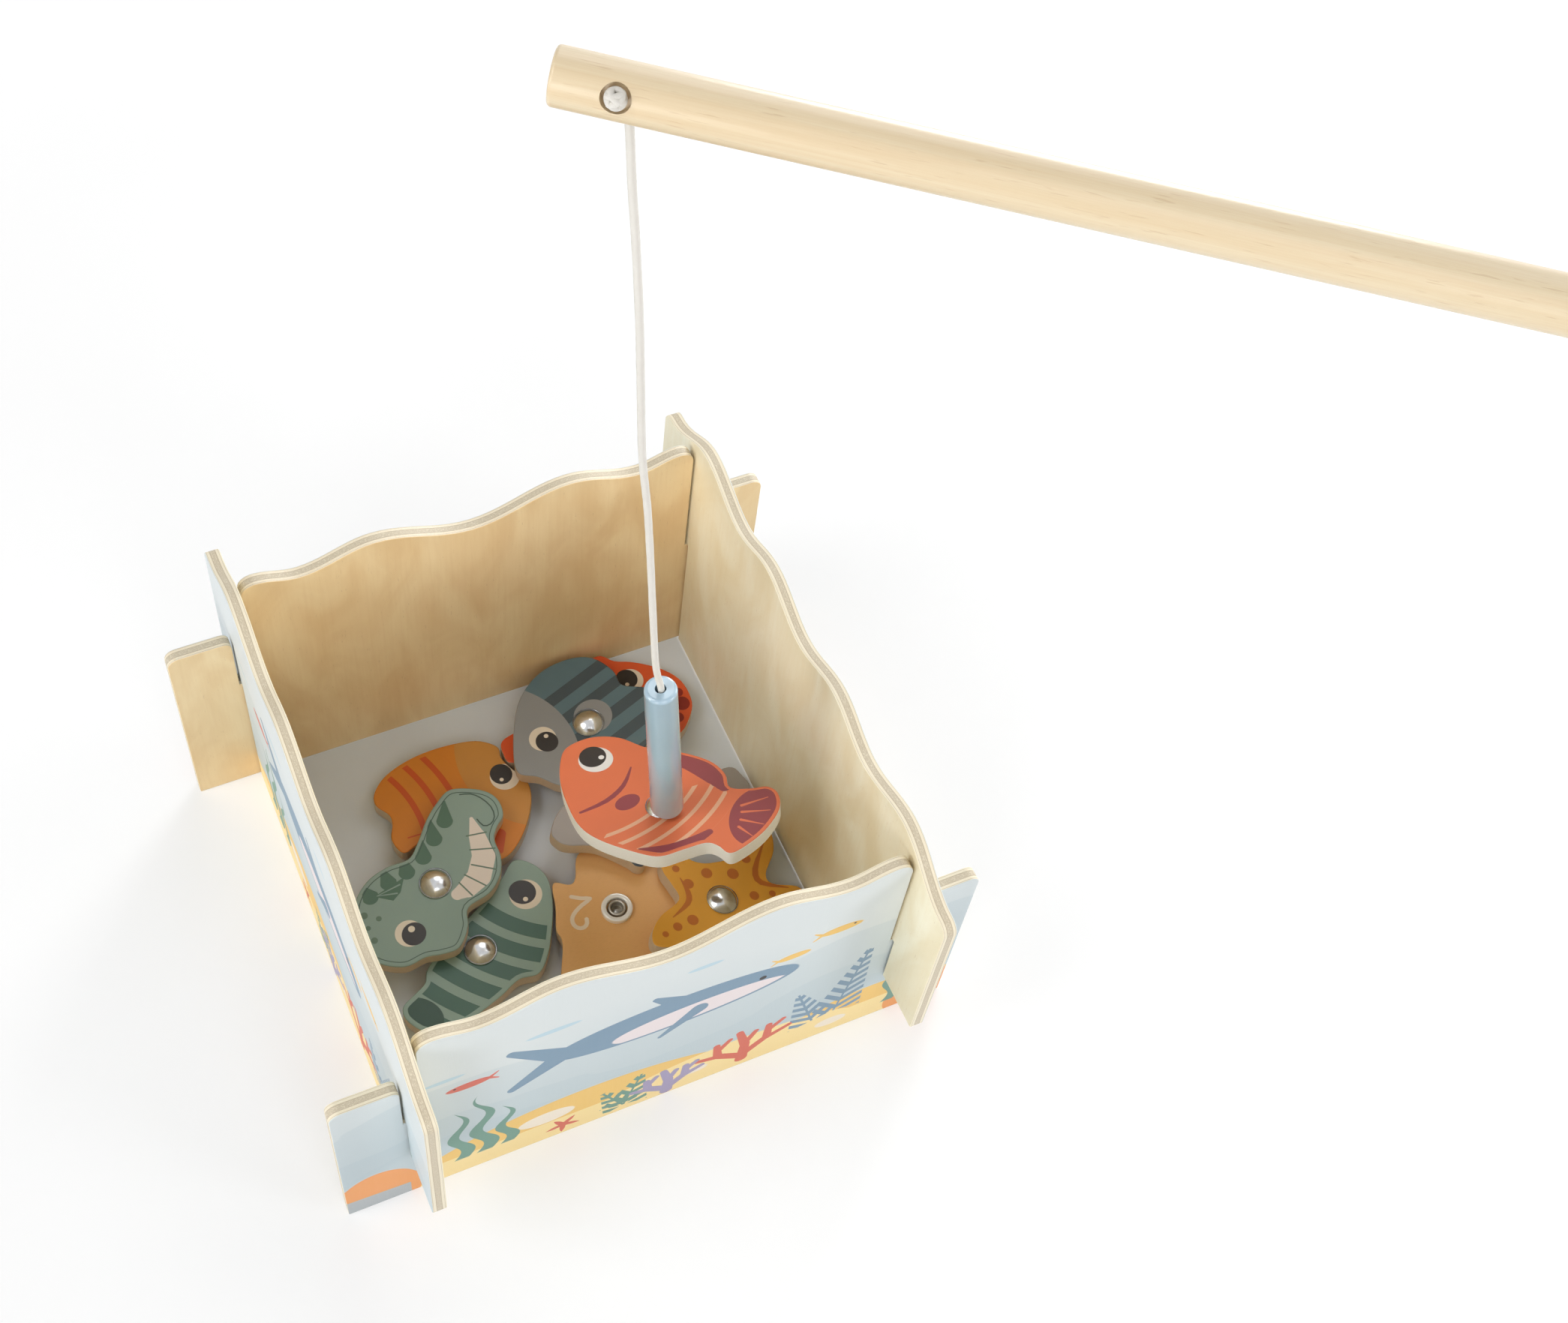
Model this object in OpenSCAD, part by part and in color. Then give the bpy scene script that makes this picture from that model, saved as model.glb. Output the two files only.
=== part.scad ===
// Magnetic fishing game. Four slotted plywood panels lock together into a pond without a floor.
// Nine flat wooden pieces with domed steel caps lie in it, and one hangs on the rod's magnet.
// X runs along the front panel, Y into the pond, Z up. The origin is the middle of the front
// panel's bottom edge, halfway through its thickness.

/* [Pond] */
// Thickness of the plywood
ply = 5; // [3:0.5:8]
// Width of the pond between the side panels
pond_w = 164; // [150:1:220]
// Depth of the pond between the front and back panels
pond_d = 167; // [150:1:220]
// How far the front and back panels reach past the side panels
tab_w = 23; // [10:0.5:40]
// How far the side panels reach past the front and back panels
tab_d = 21.5; // [12:0.5:40]
// Height at which a slot of one panel meets a slot of another
lap_h = 62; // [45:1:80]
// Gap on each side of a panel in its slot
slot_gap = 0.7; // [0.2:0.1:1.2]

/* [Front and back panels] */
// Height in the middle
front_mid_h = 111; // [95:1:130]
// Height of the wave on each side of the middle
front_crest_h = 120; // [100:1:140]
// Distance of that wave from the middle
front_crest_x = 35; // [25:1:42]
// Height of the dip beyond the wave
front_dip_h = 113.5; // [95:0.5:130]
// Distance of the dip from the middle
front_dip_x = 61; // [50:1:64]
// Height of the last wave, by the slot
front_end_h = 117; // [100:1:140]
// Width of the round shoulder between the last wave and the slot
shoulder_w = 5.3; // [2:0.1:8]
// Height of the round shoulder
shoulder_h = 5; // [2:0.5:8]
// Height of the tabs outside the slots
tab_h = 88; // [83:1:92]
// Radius of the tabs' outer corners
tab_r = 4; // [1:0.5:8]
// Radius of the tabs' corners by the slot
tab_slot_r = 3; // [1:0.5:6]

/* [Side panels] */
// Height in the middle
side_mid_h = 115; // [95:1:130]
// Height of the two waves on each side
side_crest_h = 122; // [100:1:140]
// Distance of the first wave from the middle
side_crest_y = 25.5; // [18:0.5:35]
// Distance of the dip from the middle
side_dip_y = 49.5; // [42:0.5:58]
// Distance of the second wave from the middle
side_end_y = 76; // [68:1:78]
// Height where the wave runs out into the end corner
side_end_h = 109; // [95:1:120]
// Radius of the end corner
side_end_r = 4.5; // [1:0.5:8]
// Height of the underside of the ends, clear of the table
side_tab_z = 36; // [10:1:50]

/* [Game pieces] */
// Thickness of a game piece
piece_t = 6; // [4:0.5:8]
// Diameter of the domed steel cap
cap_d = 11; // [8:0.5:14]
// Height of the cap
cap_h = 3.2; // [2:0.1:4]
// Diameter of the round ring on the back, which the piece lies on
ring_d = 11.4; // [10:0.2:14]
// Diameter of the hole in the ring
ring_hole_d = 7.6; // [7:0.1:8.5]
// Thickness of the ring
ring_t = 2; // [1.2:0.1:3]
// Radius of the ring's rims
ring_rim = 0.7; // [0.2:0.1:0.9]
// Diameter of the hollow rivet that holds the cap
rivet_d = 6.4; // [5:0.1:6.8]
// Wall of the rivet round its hollow
rivet_wall = 0.5; // [0.3:0.1:1]
// How far the rivet's rim lies below the face of the ring
rivet_in = 0.3; // [0.1:0.1:1]
// Depth of the rivet's hollow
rivet_hollow = 3; // [1:0.5:5]
// Height of the round boss in the hollow
rivet_boss = 0.8; // [0.3:0.1:1]
// Gap round the rivet in the wood
rivet_gap = 0.1; // [0.05:0.05:0.3]
// Diameter of the rivet's pin in the cap
pin_d = 3; // [2:0.2:4]
// Depth to which the pin reaches into the cap
pin_l = 1.8; // [1:0.1:2.2]

/* [Heap] */
// Gap where one piece leans on another
lean_gap = 0.25; // [0.1:0.05:0.5]
// Place of the yellow fish, from the middle of the pond
yellow_fish_at = [-25, 39]; // [-70:0.5:70]
// Turn of the yellow fish
yellow_fish_turn = 12; // [-180:1:180]
// Place of the seahorse
seahorse_at = [-44.5, 9]; // [-70:0.5:70]
// Turn of the seahorse
seahorse_turn = -55; // [-180:1:180]
// Where the low edge of the seahorse rests
seahorse_low_y = -17; // [-70:0.5:70]
// Place of the long fish
long_fish_at = [-37.5, -18]; // [-70:0.5:70]
// Turn of the long fish
long_fish_turn = 45; // [-180:1:180]
// Place of the grey fish
grey_fish_at = [31, 50.5]; // [-70:0.5:70]
// Turn of the grey fish
grey_fish_turn = 22; // [-180:1:180]
// Place of the crab
crab_at = [48, 57.5]; // [-70:0.5:70]
// Turn of the crab
crab_turn = 12; // [-180:1:180]
// Place of the ray
ray_at = [36.5, 5]; // [-70:0.5:70]
// Turn of the ray
ray_turn = 20; // [-180:1:180]
// Lean of the ray
ray_lean = 6; // [0:0.5:10]
// Where the ray rests on the edge of the face-down piece
ray_rest_x = 33.5; // [-70:0.5:70]
// Place of the face-down piece
turned_at = [13, -21.5]; // [-70:0.5:70]
// Place of the starfish
starfish_at = [47.5, -33.5]; // [-70:0.5:70]
// Where the starfish rests on the edge of the face-down piece
starfish_high_x = 35.5; // [-70:0.5:70]
// Where the starfish touches the table
starfish_low_x = 78; // [-70:0.5:82]

/* [Rod] */
// Diameter of the rod
rod_d = 13; // [10:0.5:16]
// Length of the rod
rod_l = 300; // [240:5:360]
// Radius of the rod's rims
rod_rim = 1; // [0.5:0.1:2]
// Distance of the line's hole from the tip
rod_hole_x = 14.5; // [10:0.5:25]
// Diameter of the line's hole
rod_hole_d = 3.4; // [3.2:0.1:4.4]
// Diameter of the pocket for the knot
rod_pocket_d = 6.8; // [6.2:0.2:8]
// Depth of the pocket, from the rod's surface
rod_pocket_l = 3; // [2:0.5:4]
// Diameter of the knot in the rod
rod_knot_d = 5.2; // [4:0.2:6]
// Middle of the rod's tip, from the middle of the pond
rod_tip = [-8.3, -4.3, 387.9]; // [-20:0.1:400]
// How far the rod is held down towards the grip
rod_dip = 3.5; // [0:0.5:10]
// How far the rod is turned towards the player
rod_turn = -34; // [-90:1:90]
// How far the line's hole is turned up round the rod
rod_hole_turn = 25; // [0:1:90]

/* [Magnet holder] */
// Length of the holder
holder_l = 74.6; // [60:0.1:90]
// Diameter at the line
holder_top_d = 10.5; // [9.5:0.1:12]
// Diameter at the magnet
holder_foot_d = 11.2; // [10.5:0.1:13]
// Radius of the holder's rims
holder_rim = 1.4; // [0.5:0.1:2]
// Diameter of the hole for the line
holder_hole_d = 3.6; // [3.2:0.1:4.4]
// Thickness of the holder's top over the knot
holder_roof = 12; // [8:0.5:20]
// Diameter of the chamber for the knot
chamber_d = 6.4; // [5.6:0.2:7]
// Diameter of the knot in the holder
holder_knot_d = 5; // [4:0.2:5.4]
// Diameter of the magnet
magnet_d = 8; // [7.2:0.1:8.4]
// Length of the magnet
magnet_l = 6; // [4:0.5:10]
// Gap round the magnet
magnet_gap = 0.1; // [0.05:0.05:0.2]
// Middle of the holder's foot, from the middle of the pond
holder_foot = [29, -20.9, 74.4]; // [-60:0.1:200]
// Lean of the holder on its line
holder_lean = [-1.6, -4.3, 0]; // [-10:0.1:10]

/* [Caught fish] */
// Gap between the magnet and the cap
catch_gap = 0.05; // [0.02:0.01:0.3]
// Place of the cap under the magnet
catch_at = [-1, 1.5]; // [-2:0.1:2]
// Lean of the fish on the magnet
catch_lean = [-14.5, 4.5]; // [-20:0.5:20]
// Turn of the fish on the magnet
catch_turn = -22; // [-180:1:180]

/* [Line] */
// Diameter of the line
line_d = 2.2; // [1.6:0.1:2.4]

/* [Hidden] */
$fn = 48;
// Steps in which one span of a curve is drawn
SPAN = 5;
// Steps in a quarter of a circle
QUARTER = 6;
// Angle to which the round shoulder turns before the wave goes on
SHOULDER_TURN = 85;
// Angle to which the side panels' end corner turns before the wave goes on
CORNER_TURN = 75;
// How far a cutting solid passes through a face
CUT = 1;
// Sides of the line's tube
LINE_SIDES = 8;
// Rings of the tube in one span of the line's route
LINE_SPAN = 3;
// Width and depth of the pond for which the pieces' outlines and places are drawn
DRAWN_POND = [164, 167];

WOOD = "burlywood";
STEEL = "silver";
WHITE = "white";
DARK = "dimgray";

// Outlines of the game pieces, each round its own cap, drawn face up
YELLOW_FISH = [
    [25, 3], [24.3, 9], [25.5, 14], [20, 20.5], [8.5, 25], [-3.5, 27], [-15, 26], [-22.5, 22],
    [-25, 17], [-23, 11], [-24, 7], [-27.5, 1.5], [-26.5, -5.5], [-18.5, -5.5], [-12, -13],
    [-5.5, -23.5], [2.5, -27], [10.5, -24.5], [19, -18], [25, -10.5], [27, -3.5]
];
SEAHORSE = [
    [-1, 40], [-8, 39.5], [-17, 33.5], [-18, 25.5], [-17, 18], [-14.5, 9.5], [-13.5, 2.5],
    [-18, -4.5], [-20.5, -13], [-19, -22], [-13.5, -29], [-6, -35], [1.5, -35.5], [9.5, -31.5],
    [13.5, -24.5], [17.5, -20.5], [21, -15], [19, -7], [15, -1], [18, 8], [17, 16], [13, 22],
    [7.5, 26], [5.5, 30.5], [4.5, 36]
];
LONG_FISH = [
    [38.5, -3], [37, 4], [28.5, 5], [16, 7.5], [0, 12], [-13.5, 14], [-19, 12.5], [-24.5, 14],
    [-30.5, 15.5], [-34.5, 11.5], [-35, 2.5], [-27, -6.5], [-14, -13.5], [-5, -17], [0, -22.5],
    [8, -22.5], [18.5, -19.5], [28, -15.5], [35.5, -10]
];
GREY_FISH = [
    [22.5, 10], [21, 19], [15, 25], [4.5, 28.5], [-6, 27.5], [-16, 22.5], [-27.5, 11.5], [-33, 3],
    [-29, -3.5], [-25, -13], [-14.5, -22], [2, -23], [12.5, -22], [16, -28], [23.5, -22],
    [27.5, -14.5], [33.5, -11], [28.5, -6.5], [24, -1.5], [20.5, 3.5]
];
CRAB = [
    [25, -3], [21.5, 6], [14.5, 14], [8.5, 18.5], [4, 24], [-9, 22], [-30, 11.5], [-42, 12.5],
    [-47.5, 11.5], [-49.5, 7], [-49.5, 2.5], [-44, 0.5], [-32.5, -2.5], [-22, -17], [-1.5, -22.5],
    [10.5, -22], [17, -19], [23, -13]
];
RAY = [
    [40, -7.5], [38.5, -1.5], [25, 1.5], [10.5, 6.5], [-4, 15], [-14.5, 24], [-24, 23.5],
    [-32, 19], [-33, 14.5], [-31, 10.5], [-23.5, 4], [-18.5, -7], [-17.5, -11], [-14.5, -12.5],
    [-7.5, -9], [3.5, -8.5], [16, -11.5], [27.5, -14.5], [38, -13.5]
];
TURNED = [
    [22, 5.5], [16.5, 15.5], [8, 27.5], [-4, 29], [-16.5, 25.5], [-29, 22], [-23, 5.5], [-23, -0.5],
    [-20, -9], [-17.5, -18], [-12, -15.5], [-9, -17.5], [-5, -25.5], [4.5, -27.5], [17, -21.5],
    [22, -11.5]
];
STARFISH = [
    [30.5, 22.5], [26, 24.5], [14, 16], [3, 15.5], [-3, 17.5], [-7.5, 22], [-12, 23.5], [-15.5, 21],
    [-16.5, 16.5], [-15.5, 11], [-15.5, 4.5], [-25, 0], [-30.5, -5.5], [-31, -10.5], [-23, -12.5],
    [-8.5, -10], [-1.5, -18], [5, -17], [8, -7], [20, -5], [30.5, -5.5], [30, -2], [21.5, 1.5],
    [21, 6], [28, 14]
];
CAUGHT_FISH = [
    [39, 3.5], [35.5, 7], [30, 6.5], [23, 7.5], [21.5, 14], [16.5, 20.5], [6.5, 25.5], [-5, 28.5],
    [-14.5, 34], [-23.5, 35], [-31, 32], [-34.5, 27], [-35, 15.5], [-32.5, 4], [-28, -7],
    [-21, -14], [-8.5, -20.5], [-1, -22.5], [6.5, -20], [14, -17.5], [18, -19], [21.5, -22.5],
    [26, -20.5], [33.5, -13.5], [39, -4]
];

// Route of the line from the knot in the rod to the knot in the holder, from the pond's middle
LINE_ROUTE = [
    [2, -15, 388.5], [4.5, -11.5, 386.5], [7, -7.5, 384], [8.5, -5.5, 380.5], [9, -5, 375],
    [9.5, -5.5, 369], [10.5, -6.5, 351], [11.5, -7.5, 336.5], [13, -9, 311], [14, -10, 288.5],
    [15, -12, 259], [17, -13.5, 236], [18.5, -15, 212], [20, -16.5, 185.5], [21.5, -18, 161.5],
    [23.5, -19, 149], [24.5, -19, 137]
];

// Middle of the pond, where the heap and the rod are measured from
mid_y = (pond_d + ply) / 2;
// Middle of a side panel's thickness
side_x = (pond_w + ply) / 2;
slot_w = ply + 2 * slot_gap;
front_half = pond_w / 2 + ply + tab_w;
side_half = pond_d / 2 + ply + tab_d;
// Inner and outer edges of the slots, from the middle of the panel
front_slot_in = side_x - slot_w / 2;
front_slot_out = side_x + slot_w / 2;
side_slot_in = mid_y - slot_w / 2;
side_slot_out = mid_y + slot_w / 2;

// Size of the heap and its pieces against the drawn one, so that they suit the pond
heap_k = min(pond_w / DRAWN_POND[0], pond_d / DRAWN_POND[1]);

// Radius of the sphere that the cap is cut from
cap_r = (pow(cap_h, 2) + pow(cap_d / 2, 2)) / (2 * cap_h);
rivet_hole_d = rivet_d + 2 * rivet_gap;

// Heights in the heap: on the top of a flat piece, on its cap, with the ring on a flat piece,
// and on the face-down piece
flat_top = ring_t + piece_t + lean_gap;
on_cap = flat_top + cap_h;
on_ring = flat_top + ring_t;
on_turned = cap_h + piece_t + lean_gap;
seahorse_slope = (on_cap - flat_top) / (heap_k * (yellow_fish_at[1] - seahorse_low_y));
grey_fish_slope = (on_cap - on_ring) / (heap_k * (crab_at[0] - grey_fish_at[0]) + ring_d / 2);
starfish_slope = (on_turned - lean_gap) / (heap_k * (starfish_low_x - starfish_high_x));
seahorse_lean = atan(seahorse_slope);
grey_fish_lean = -atan(grey_fish_slope);
starfish_lean = atan(starfish_slope);
seahorse_z = flat_top + seahorse_slope * heap_k * (seahorse_at[1] - seahorse_low_y);
grey_fish_z = on_ring + grey_fish_slope * ring_d / 2;
starfish_z = lean_gap + starfish_slope * heap_k * (starfish_low_x - starfish_at[0]);
ray_z = on_turned - tan(ray_lean) * heap_k * (ray_at[0] - ray_rest_x);

// Game pieces: name, outline, colour, place in the pond, height, lean and turn
HEAP = [
    ["yellow_fish", YELLOW_FISH, "goldenrod", yellow_fish_at, ring_t, [0, 0], yellow_fish_turn],
    ["seahorse", SEAHORSE, "darkseagreen", seahorse_at, seahorse_z, [seahorse_lean, 0], seahorse_turn],
    ["long_fish", LONG_FISH, "olivedrab", long_fish_at, ring_t, [0, 0], long_fish_turn],
    ["grey_fish", GREY_FISH, "slategray", grey_fish_at, grey_fish_z, [0, grey_fish_lean], grey_fish_turn],
    ["crab", CRAB, "firebrick", crab_at, ring_t, [0, 0], crab_turn],
    ["ray", RAY, "lightsteelblue", ray_at, ray_z, [0, ray_lean], ray_turn],
    ["turned_piece", TURNED, "peru", turned_at, cap_h + piece_t, [180, 0], 0],
    ["starfish", STARFISH, "orange", starfish_at, starfish_z, [0, starfish_lean], 0]
];

GAME = concat([for (p = HEAP) p[0]], ["caught_fish"]);

// Height between a and b, eased like a wave, at t from 0 to 1
function ease(a, b, t) = a + (b - a) * (1 - cos(180 * t)) / 2;

// Points of a wave through crests and dips, without the last one
function wave(knots) = [
    for (i = [0 : len(knots) - 2], k = [0 : 2 * SPAN - 1])
        let (t = k / (2 * SPAN), a = knots[i], b = knots[i + 1])
            [a[0] + (b[0] - a[0]) * t, ease(a[1], b[1], t)]
];

// Points of an arc round c, with radii rx and ry, from angle a to angle b
function arc(c, rx, ry, a, b) = [
    for (k = [0 : QUARTER]) let (t = a + (b - a) * k / QUARTER) [c[0] + rx * cos(t), c[1] + ry * sin(t)]
];

// Whole outline from its right half, which runs from the bottom to the middle of the top
function both_halves(half) = concat(half, [for (i = [len(half) - 2 : -1 : 0]) [-half[i][0], half[i][1]]]);

// Point at t on the curve through b and c, with neighbours a and d
function curve(a, b, c, d, t) = (
    2 * b + (c - a) * t + (2 * a - 5 * b + 4 * c - d) * t * t + (3 * b - a - 3 * c + d) * t * t * t
) / 2;

// Closed smooth curve through points
function smooth(points) = let (n = len(points)) [
    for (i = [0 : n - 1], k = [0 : SPAN - 1])
        curve(points[(i + n - 1) % n], points[i], points[(i + 1) % n], points[(i + 2) % n], k / SPAN)
];

// Open smooth curve through points
function route(points) = let (n = len(points)) concat(
    [
        for (i = [0 : n - 2], k = [0 : LINE_SPAN - 1])
            curve(points[max(i - 1, 0)], points[i], points[i + 1], points[min(i + 2, n - 1)], k / LINE_SPAN)
    ],
    [points[n - 1]]
);

function unit(v) = v / norm(v);

// Ring of points round p, square to the direction t
function ring(p, t, r) = let (u = unit(cross(t, [1, 0, 0])), v = cross(t, u)) [
    for (k = [0 : LINE_SIDES - 1]) let (a = 360 * k / LINE_SIDES) p + r * (cos(a) * u + sin(a) * v)
];

// Tube of diameter d along a path
module tube(path, d) {
    n = len(path);
    points = [
        for (i = [0 : n - 1]) each ring(path[i], unit(path[min(i + 1, n - 1)] - path[max(i - 1, 0)]), d / 2)
    ];
    walls = [
        for (i = [0 : n - 2], k = [0 : LINE_SIDES - 1])
            let (a = i * LINE_SIDES, b = (k + 1) % LINE_SIDES)
                [a + k, a + LINE_SIDES + k, a + LINE_SIDES + b, a + b]
    ];
    start = [for (k = [0 : LINE_SIDES - 1]) k];
    end = [for (k = [LINE_SIDES - 1 : -1 : 0]) (n - 1) * LINE_SIDES + k];
    polyhedron(points, concat(walls, [start, end]));
}

// Front and back panels: full height at the tabs, slots open at the top
module wave_panel() {
    ex = front_slot_in - shoulder_w;
    ez = front_end_h - shoulder_h;
    knots = [
        [ex, front_end_h], [front_dip_x, front_dip_h], [front_crest_x, front_crest_h], [0, front_mid_h]
    ];
    half = concat(
        [[front_half, 0]],
        arc([front_half - tab_r, tab_h - tab_r], tab_r, tab_r, 0, 90),
        arc([front_slot_out + tab_slot_r, tab_h - tab_slot_r], tab_slot_r, tab_slot_r, 90, 180),
        [[front_slot_out, lap_h], [front_slot_in, lap_h]],
        arc([ex, ez], shoulder_w, shoulder_h, 0, SHOULDER_TURN),
        wave(knots),
        [[0, front_mid_h]]
    );
    upright() polygon(both_halves(half));
}

// Side panels: slots open at the bottom, ends clear of the table
module side_panel() {
    ey = side_half - side_end_r;
    knots = [
        [ey, side_end_h], [side_end_y, side_crest_h], [side_dip_y, side_mid_h],
        [side_crest_y, side_crest_h], [0, side_mid_h]
    ];
    half = concat(
        [[side_slot_in, 0], [side_slot_in, lap_h], [side_slot_out, lap_h]],
        [[side_slot_out, side_tab_z], [side_half, side_tab_z]],
        arc([ey, side_end_h - side_end_r], side_end_r, side_end_r, 0, CORNER_TURN),
        wave(knots),
        [[0, side_mid_h]]
    );
    rotate(90) upright() polygon(both_halves(half));
}

// Stands a flat outline up, centred on its thickness
module upright() {
    rotate([90, 0, 0]) translate([0, 0, -ply / 2]) linear_extrude(ply) children();
}

module panel_front() {
    color(WOOD) wave_panel();
}

module panel_back() {
    color(WOOD) translate([0, 2 * mid_y, 0]) wave_panel();
}

module panel_left() {
    color(WOOD) translate([-side_x, mid_y, 0]) side_panel();
}

module panel_right() {
    color(WOOD) translate([side_x, mid_y, 0]) side_panel();
}

// Flat wooden piece with the rivet's hole at its own origin
module piece_body(outline, tint) {
    color(tint) difference() {
        linear_extrude(piece_t) polygon(smooth(heap_k * outline));
        translate([0, 0, -CUT]) cylinder(d = rivet_hole_d, h = piece_t + 2 * CUT);
    }
}

// Domed steel cap on the face, with a blind hole that grips the rivet's pin
module piece_cap() {
    color(STEEL) translate([0, 0, piece_t]) difference() {
        intersection() {
            translate([0, 0, cap_h - cap_r]) sphere(r = cap_r);
            cylinder(d = cap_d + 2 * CUT, h = cap_h + CUT);
        }
        translate([0, 0, -CUT]) cylinder(d = pin_d, h = pin_l + CUT);
    }
}

// Round ring on the back
module piece_ring() {
    inner = ring_hole_d / 2 + ring_rim;
    outer = ring_d / 2 - ring_rim;
    color(WHITE) translate([0, 0, -ring_t]) rotate_extrude() polygon(concat(
        [[ring_hole_d / 2, ring_t]],
        arc([inner, ring_rim], ring_rim, ring_rim, 180, 270),
        arc([outer, ring_rim], ring_rim, ring_rim, -90, 0),
        [[ring_d / 2, ring_t]]
    ));
}

// Rivet through the ring and the wood, hollow at the back, with a pin in the cap
module piece_rivet() {
    foot = rivet_in - ring_t;
    bore_d = rivet_d - 2 * rivet_wall;
    boss_r = (pow(rivet_boss, 2) + pow(bore_d / 2, 2)) / (2 * rivet_boss);
    color(STEEL) {
        difference() {
            translate([0, 0, foot]) cylinder(d = rivet_d, h = piece_t - foot);
            difference() {
                translate([0, 0, foot - CUT]) cylinder(d = bore_d, h = rivet_hollow + CUT);
                translate([0, 0, foot + rivet_hollow - rivet_boss + boss_r]) sphere(r = boss_r);
            }
        }
        translate([0, 0, piece_t]) cylinder(d = pin_d, h = pin_l);
    }
}

// Lays a piece of the heap in its place
module in_heap(p) {
    translate([heap_k * p[3][0], mid_y + heap_k * p[3][1], p[4]])
        rotate([p[5][0], p[5][1], 0]) rotate(p[6]) children();
}

// Places what is built on the holder's foot
module on_holder() {
    translate(holder_foot + [0, mid_y, 0]) rotate(holder_lean) children();
}

// Hangs the caught fish with its cap on the magnet
module on_magnet() {
    on_holder()
        translate([catch_at[0], catch_at[1], -catch_gap - cap_r])
            rotate([catch_lean[0], catch_lean[1], 0])
                rotate(catch_turn)
                    translate([0, 0, cap_r - cap_h - piece_t]) children();
}

// Places what is built along the rod, with X from its tip to its grip
module on_rod() {
    translate(rod_tip + [0, mid_y, 0]) rotate([0, rod_dip, rod_turn]) children();
}

// Places what is built along the line's hole, with Z towards the knot
module on_rod_hole() {
    on_rod() translate([rod_hole_x, 0, 0]) rotate([90 - rod_hole_turn, 0, 0]) children();
}

module rod() {
    color(WOOD) difference() {
        on_rod() rotate([0, 90, 0]) rotate_extrude() polygon(concat(
            [[0, 0]],
            arc([rod_d / 2 - rod_rim, rod_rim], rod_rim, rod_rim, -90, 0),
            arc([rod_d / 2 - rod_rim, rod_l - rod_rim], rod_rim, rod_rim, 0, 90),
            [[0, rod_l]]
        ));
        on_rod_hole() translate([0, 0, -rod_d]) cylinder(d = rod_hole_d, h = 2 * rod_d);
        on_rod_hole() translate([0, 0, rod_d / 2 - rod_pocket_l]) cylinder(d = rod_pocket_d, h = rod_d);
    }
}

module rod_knot() {
    color(WHITE) on_rod_hole()
        translate([0, 0, (rod_d + rod_knot_d) / 2 - rod_pocket_l]) sphere(d = rod_knot_d);
}

module line() {
    color(WHITE) translate([0, mid_y, 0]) tube(route(LINE_ROUTE), line_d);
}

// Turned holder with the line's hole at the top and the magnet's pocket in the foot
module magnet_holder() {
    tr = holder_top_d / 2;
    fr = holder_foot_d / 2;
    color("aliceblue") on_holder() difference() {
        rotate_extrude() polygon(concat(
            [[0, 0]],
            arc([fr - holder_rim, holder_rim], holder_rim, holder_rim, -90, 0),
            arc([tr - holder_rim, holder_l - holder_rim], holder_rim, holder_rim, 0, 90),
            [[0, holder_l]]
        ));
        translate([0, 0, -CUT]) cylinder(d = magnet_d + 2 * magnet_gap, h = magnet_l + CUT);
        cylinder(d = chamber_d, h = holder_l - holder_roof);
        cylinder(d = holder_hole_d, h = holder_l + CUT);
    }
}

module holder_knot() {
    color(WHITE) on_holder()
        translate([0, 0, holder_l - holder_roof - holder_knot_d / 2]) sphere(d = holder_knot_d);
}

module magnet() {
    color(DARK) on_holder() cylinder(d = magnet_d, h = magnet_l);
}

panel_front();
panel_back();
panel_left();
panel_right();
for (p = HEAP) {
    in_heap(p) piece_body(p[1], p[2]);
    in_heap(p) piece_cap();
    in_heap(p) piece_ring();
    in_heap(p) piece_rivet();
}
on_magnet() piece_body(CAUGHT_FISH, "coral");  // caught_fish_body
on_magnet() piece_cap();  // caught_fish_cap
on_magnet() piece_ring();  // caught_fish_ring
on_magnet() piece_rivet();  // caught_fish_rivet
rod();
rod_knot();
line();
magnet_holder();
holder_knot();
magnet();
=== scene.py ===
"""Looks of the magnetic fishing game: plywood pond, printed game pieces, rod, line and magnet.

Everything is in metres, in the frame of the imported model: X runs along the front panel, Y into
the pond, Z up, and the origin is the middle of the front panel's bottom edge.
"""

import logging
import math
from contextlib import contextmanager
from dataclasses import dataclass
from functools import reduce
from typing import Callable, Iterator, Sequence

import bmesh
import bpy
from mathutils import Euler, Matrix, Vector


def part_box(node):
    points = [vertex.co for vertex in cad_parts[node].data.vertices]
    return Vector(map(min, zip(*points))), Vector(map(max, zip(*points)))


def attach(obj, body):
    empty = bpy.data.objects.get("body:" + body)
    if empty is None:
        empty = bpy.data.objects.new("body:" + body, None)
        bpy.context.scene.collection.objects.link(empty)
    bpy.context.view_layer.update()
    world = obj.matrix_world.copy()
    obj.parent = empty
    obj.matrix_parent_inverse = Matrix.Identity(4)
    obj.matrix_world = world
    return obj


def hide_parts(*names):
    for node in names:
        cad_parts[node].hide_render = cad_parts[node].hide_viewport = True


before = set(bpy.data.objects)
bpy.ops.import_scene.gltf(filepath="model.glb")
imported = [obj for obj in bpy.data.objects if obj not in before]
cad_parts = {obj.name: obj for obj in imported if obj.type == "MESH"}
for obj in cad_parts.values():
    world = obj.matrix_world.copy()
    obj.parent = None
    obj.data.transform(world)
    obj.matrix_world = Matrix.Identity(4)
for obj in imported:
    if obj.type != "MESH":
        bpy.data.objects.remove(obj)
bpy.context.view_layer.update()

LOG = logging.getLogger("fishing_game")
MM = 0.001
BODY = "root"
POND_MIDDLE_Y = 86 * MM
PIECE_T = 6
PRINT_SOFT = 0.12
CONTOUR_HALF = 0.16
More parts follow.
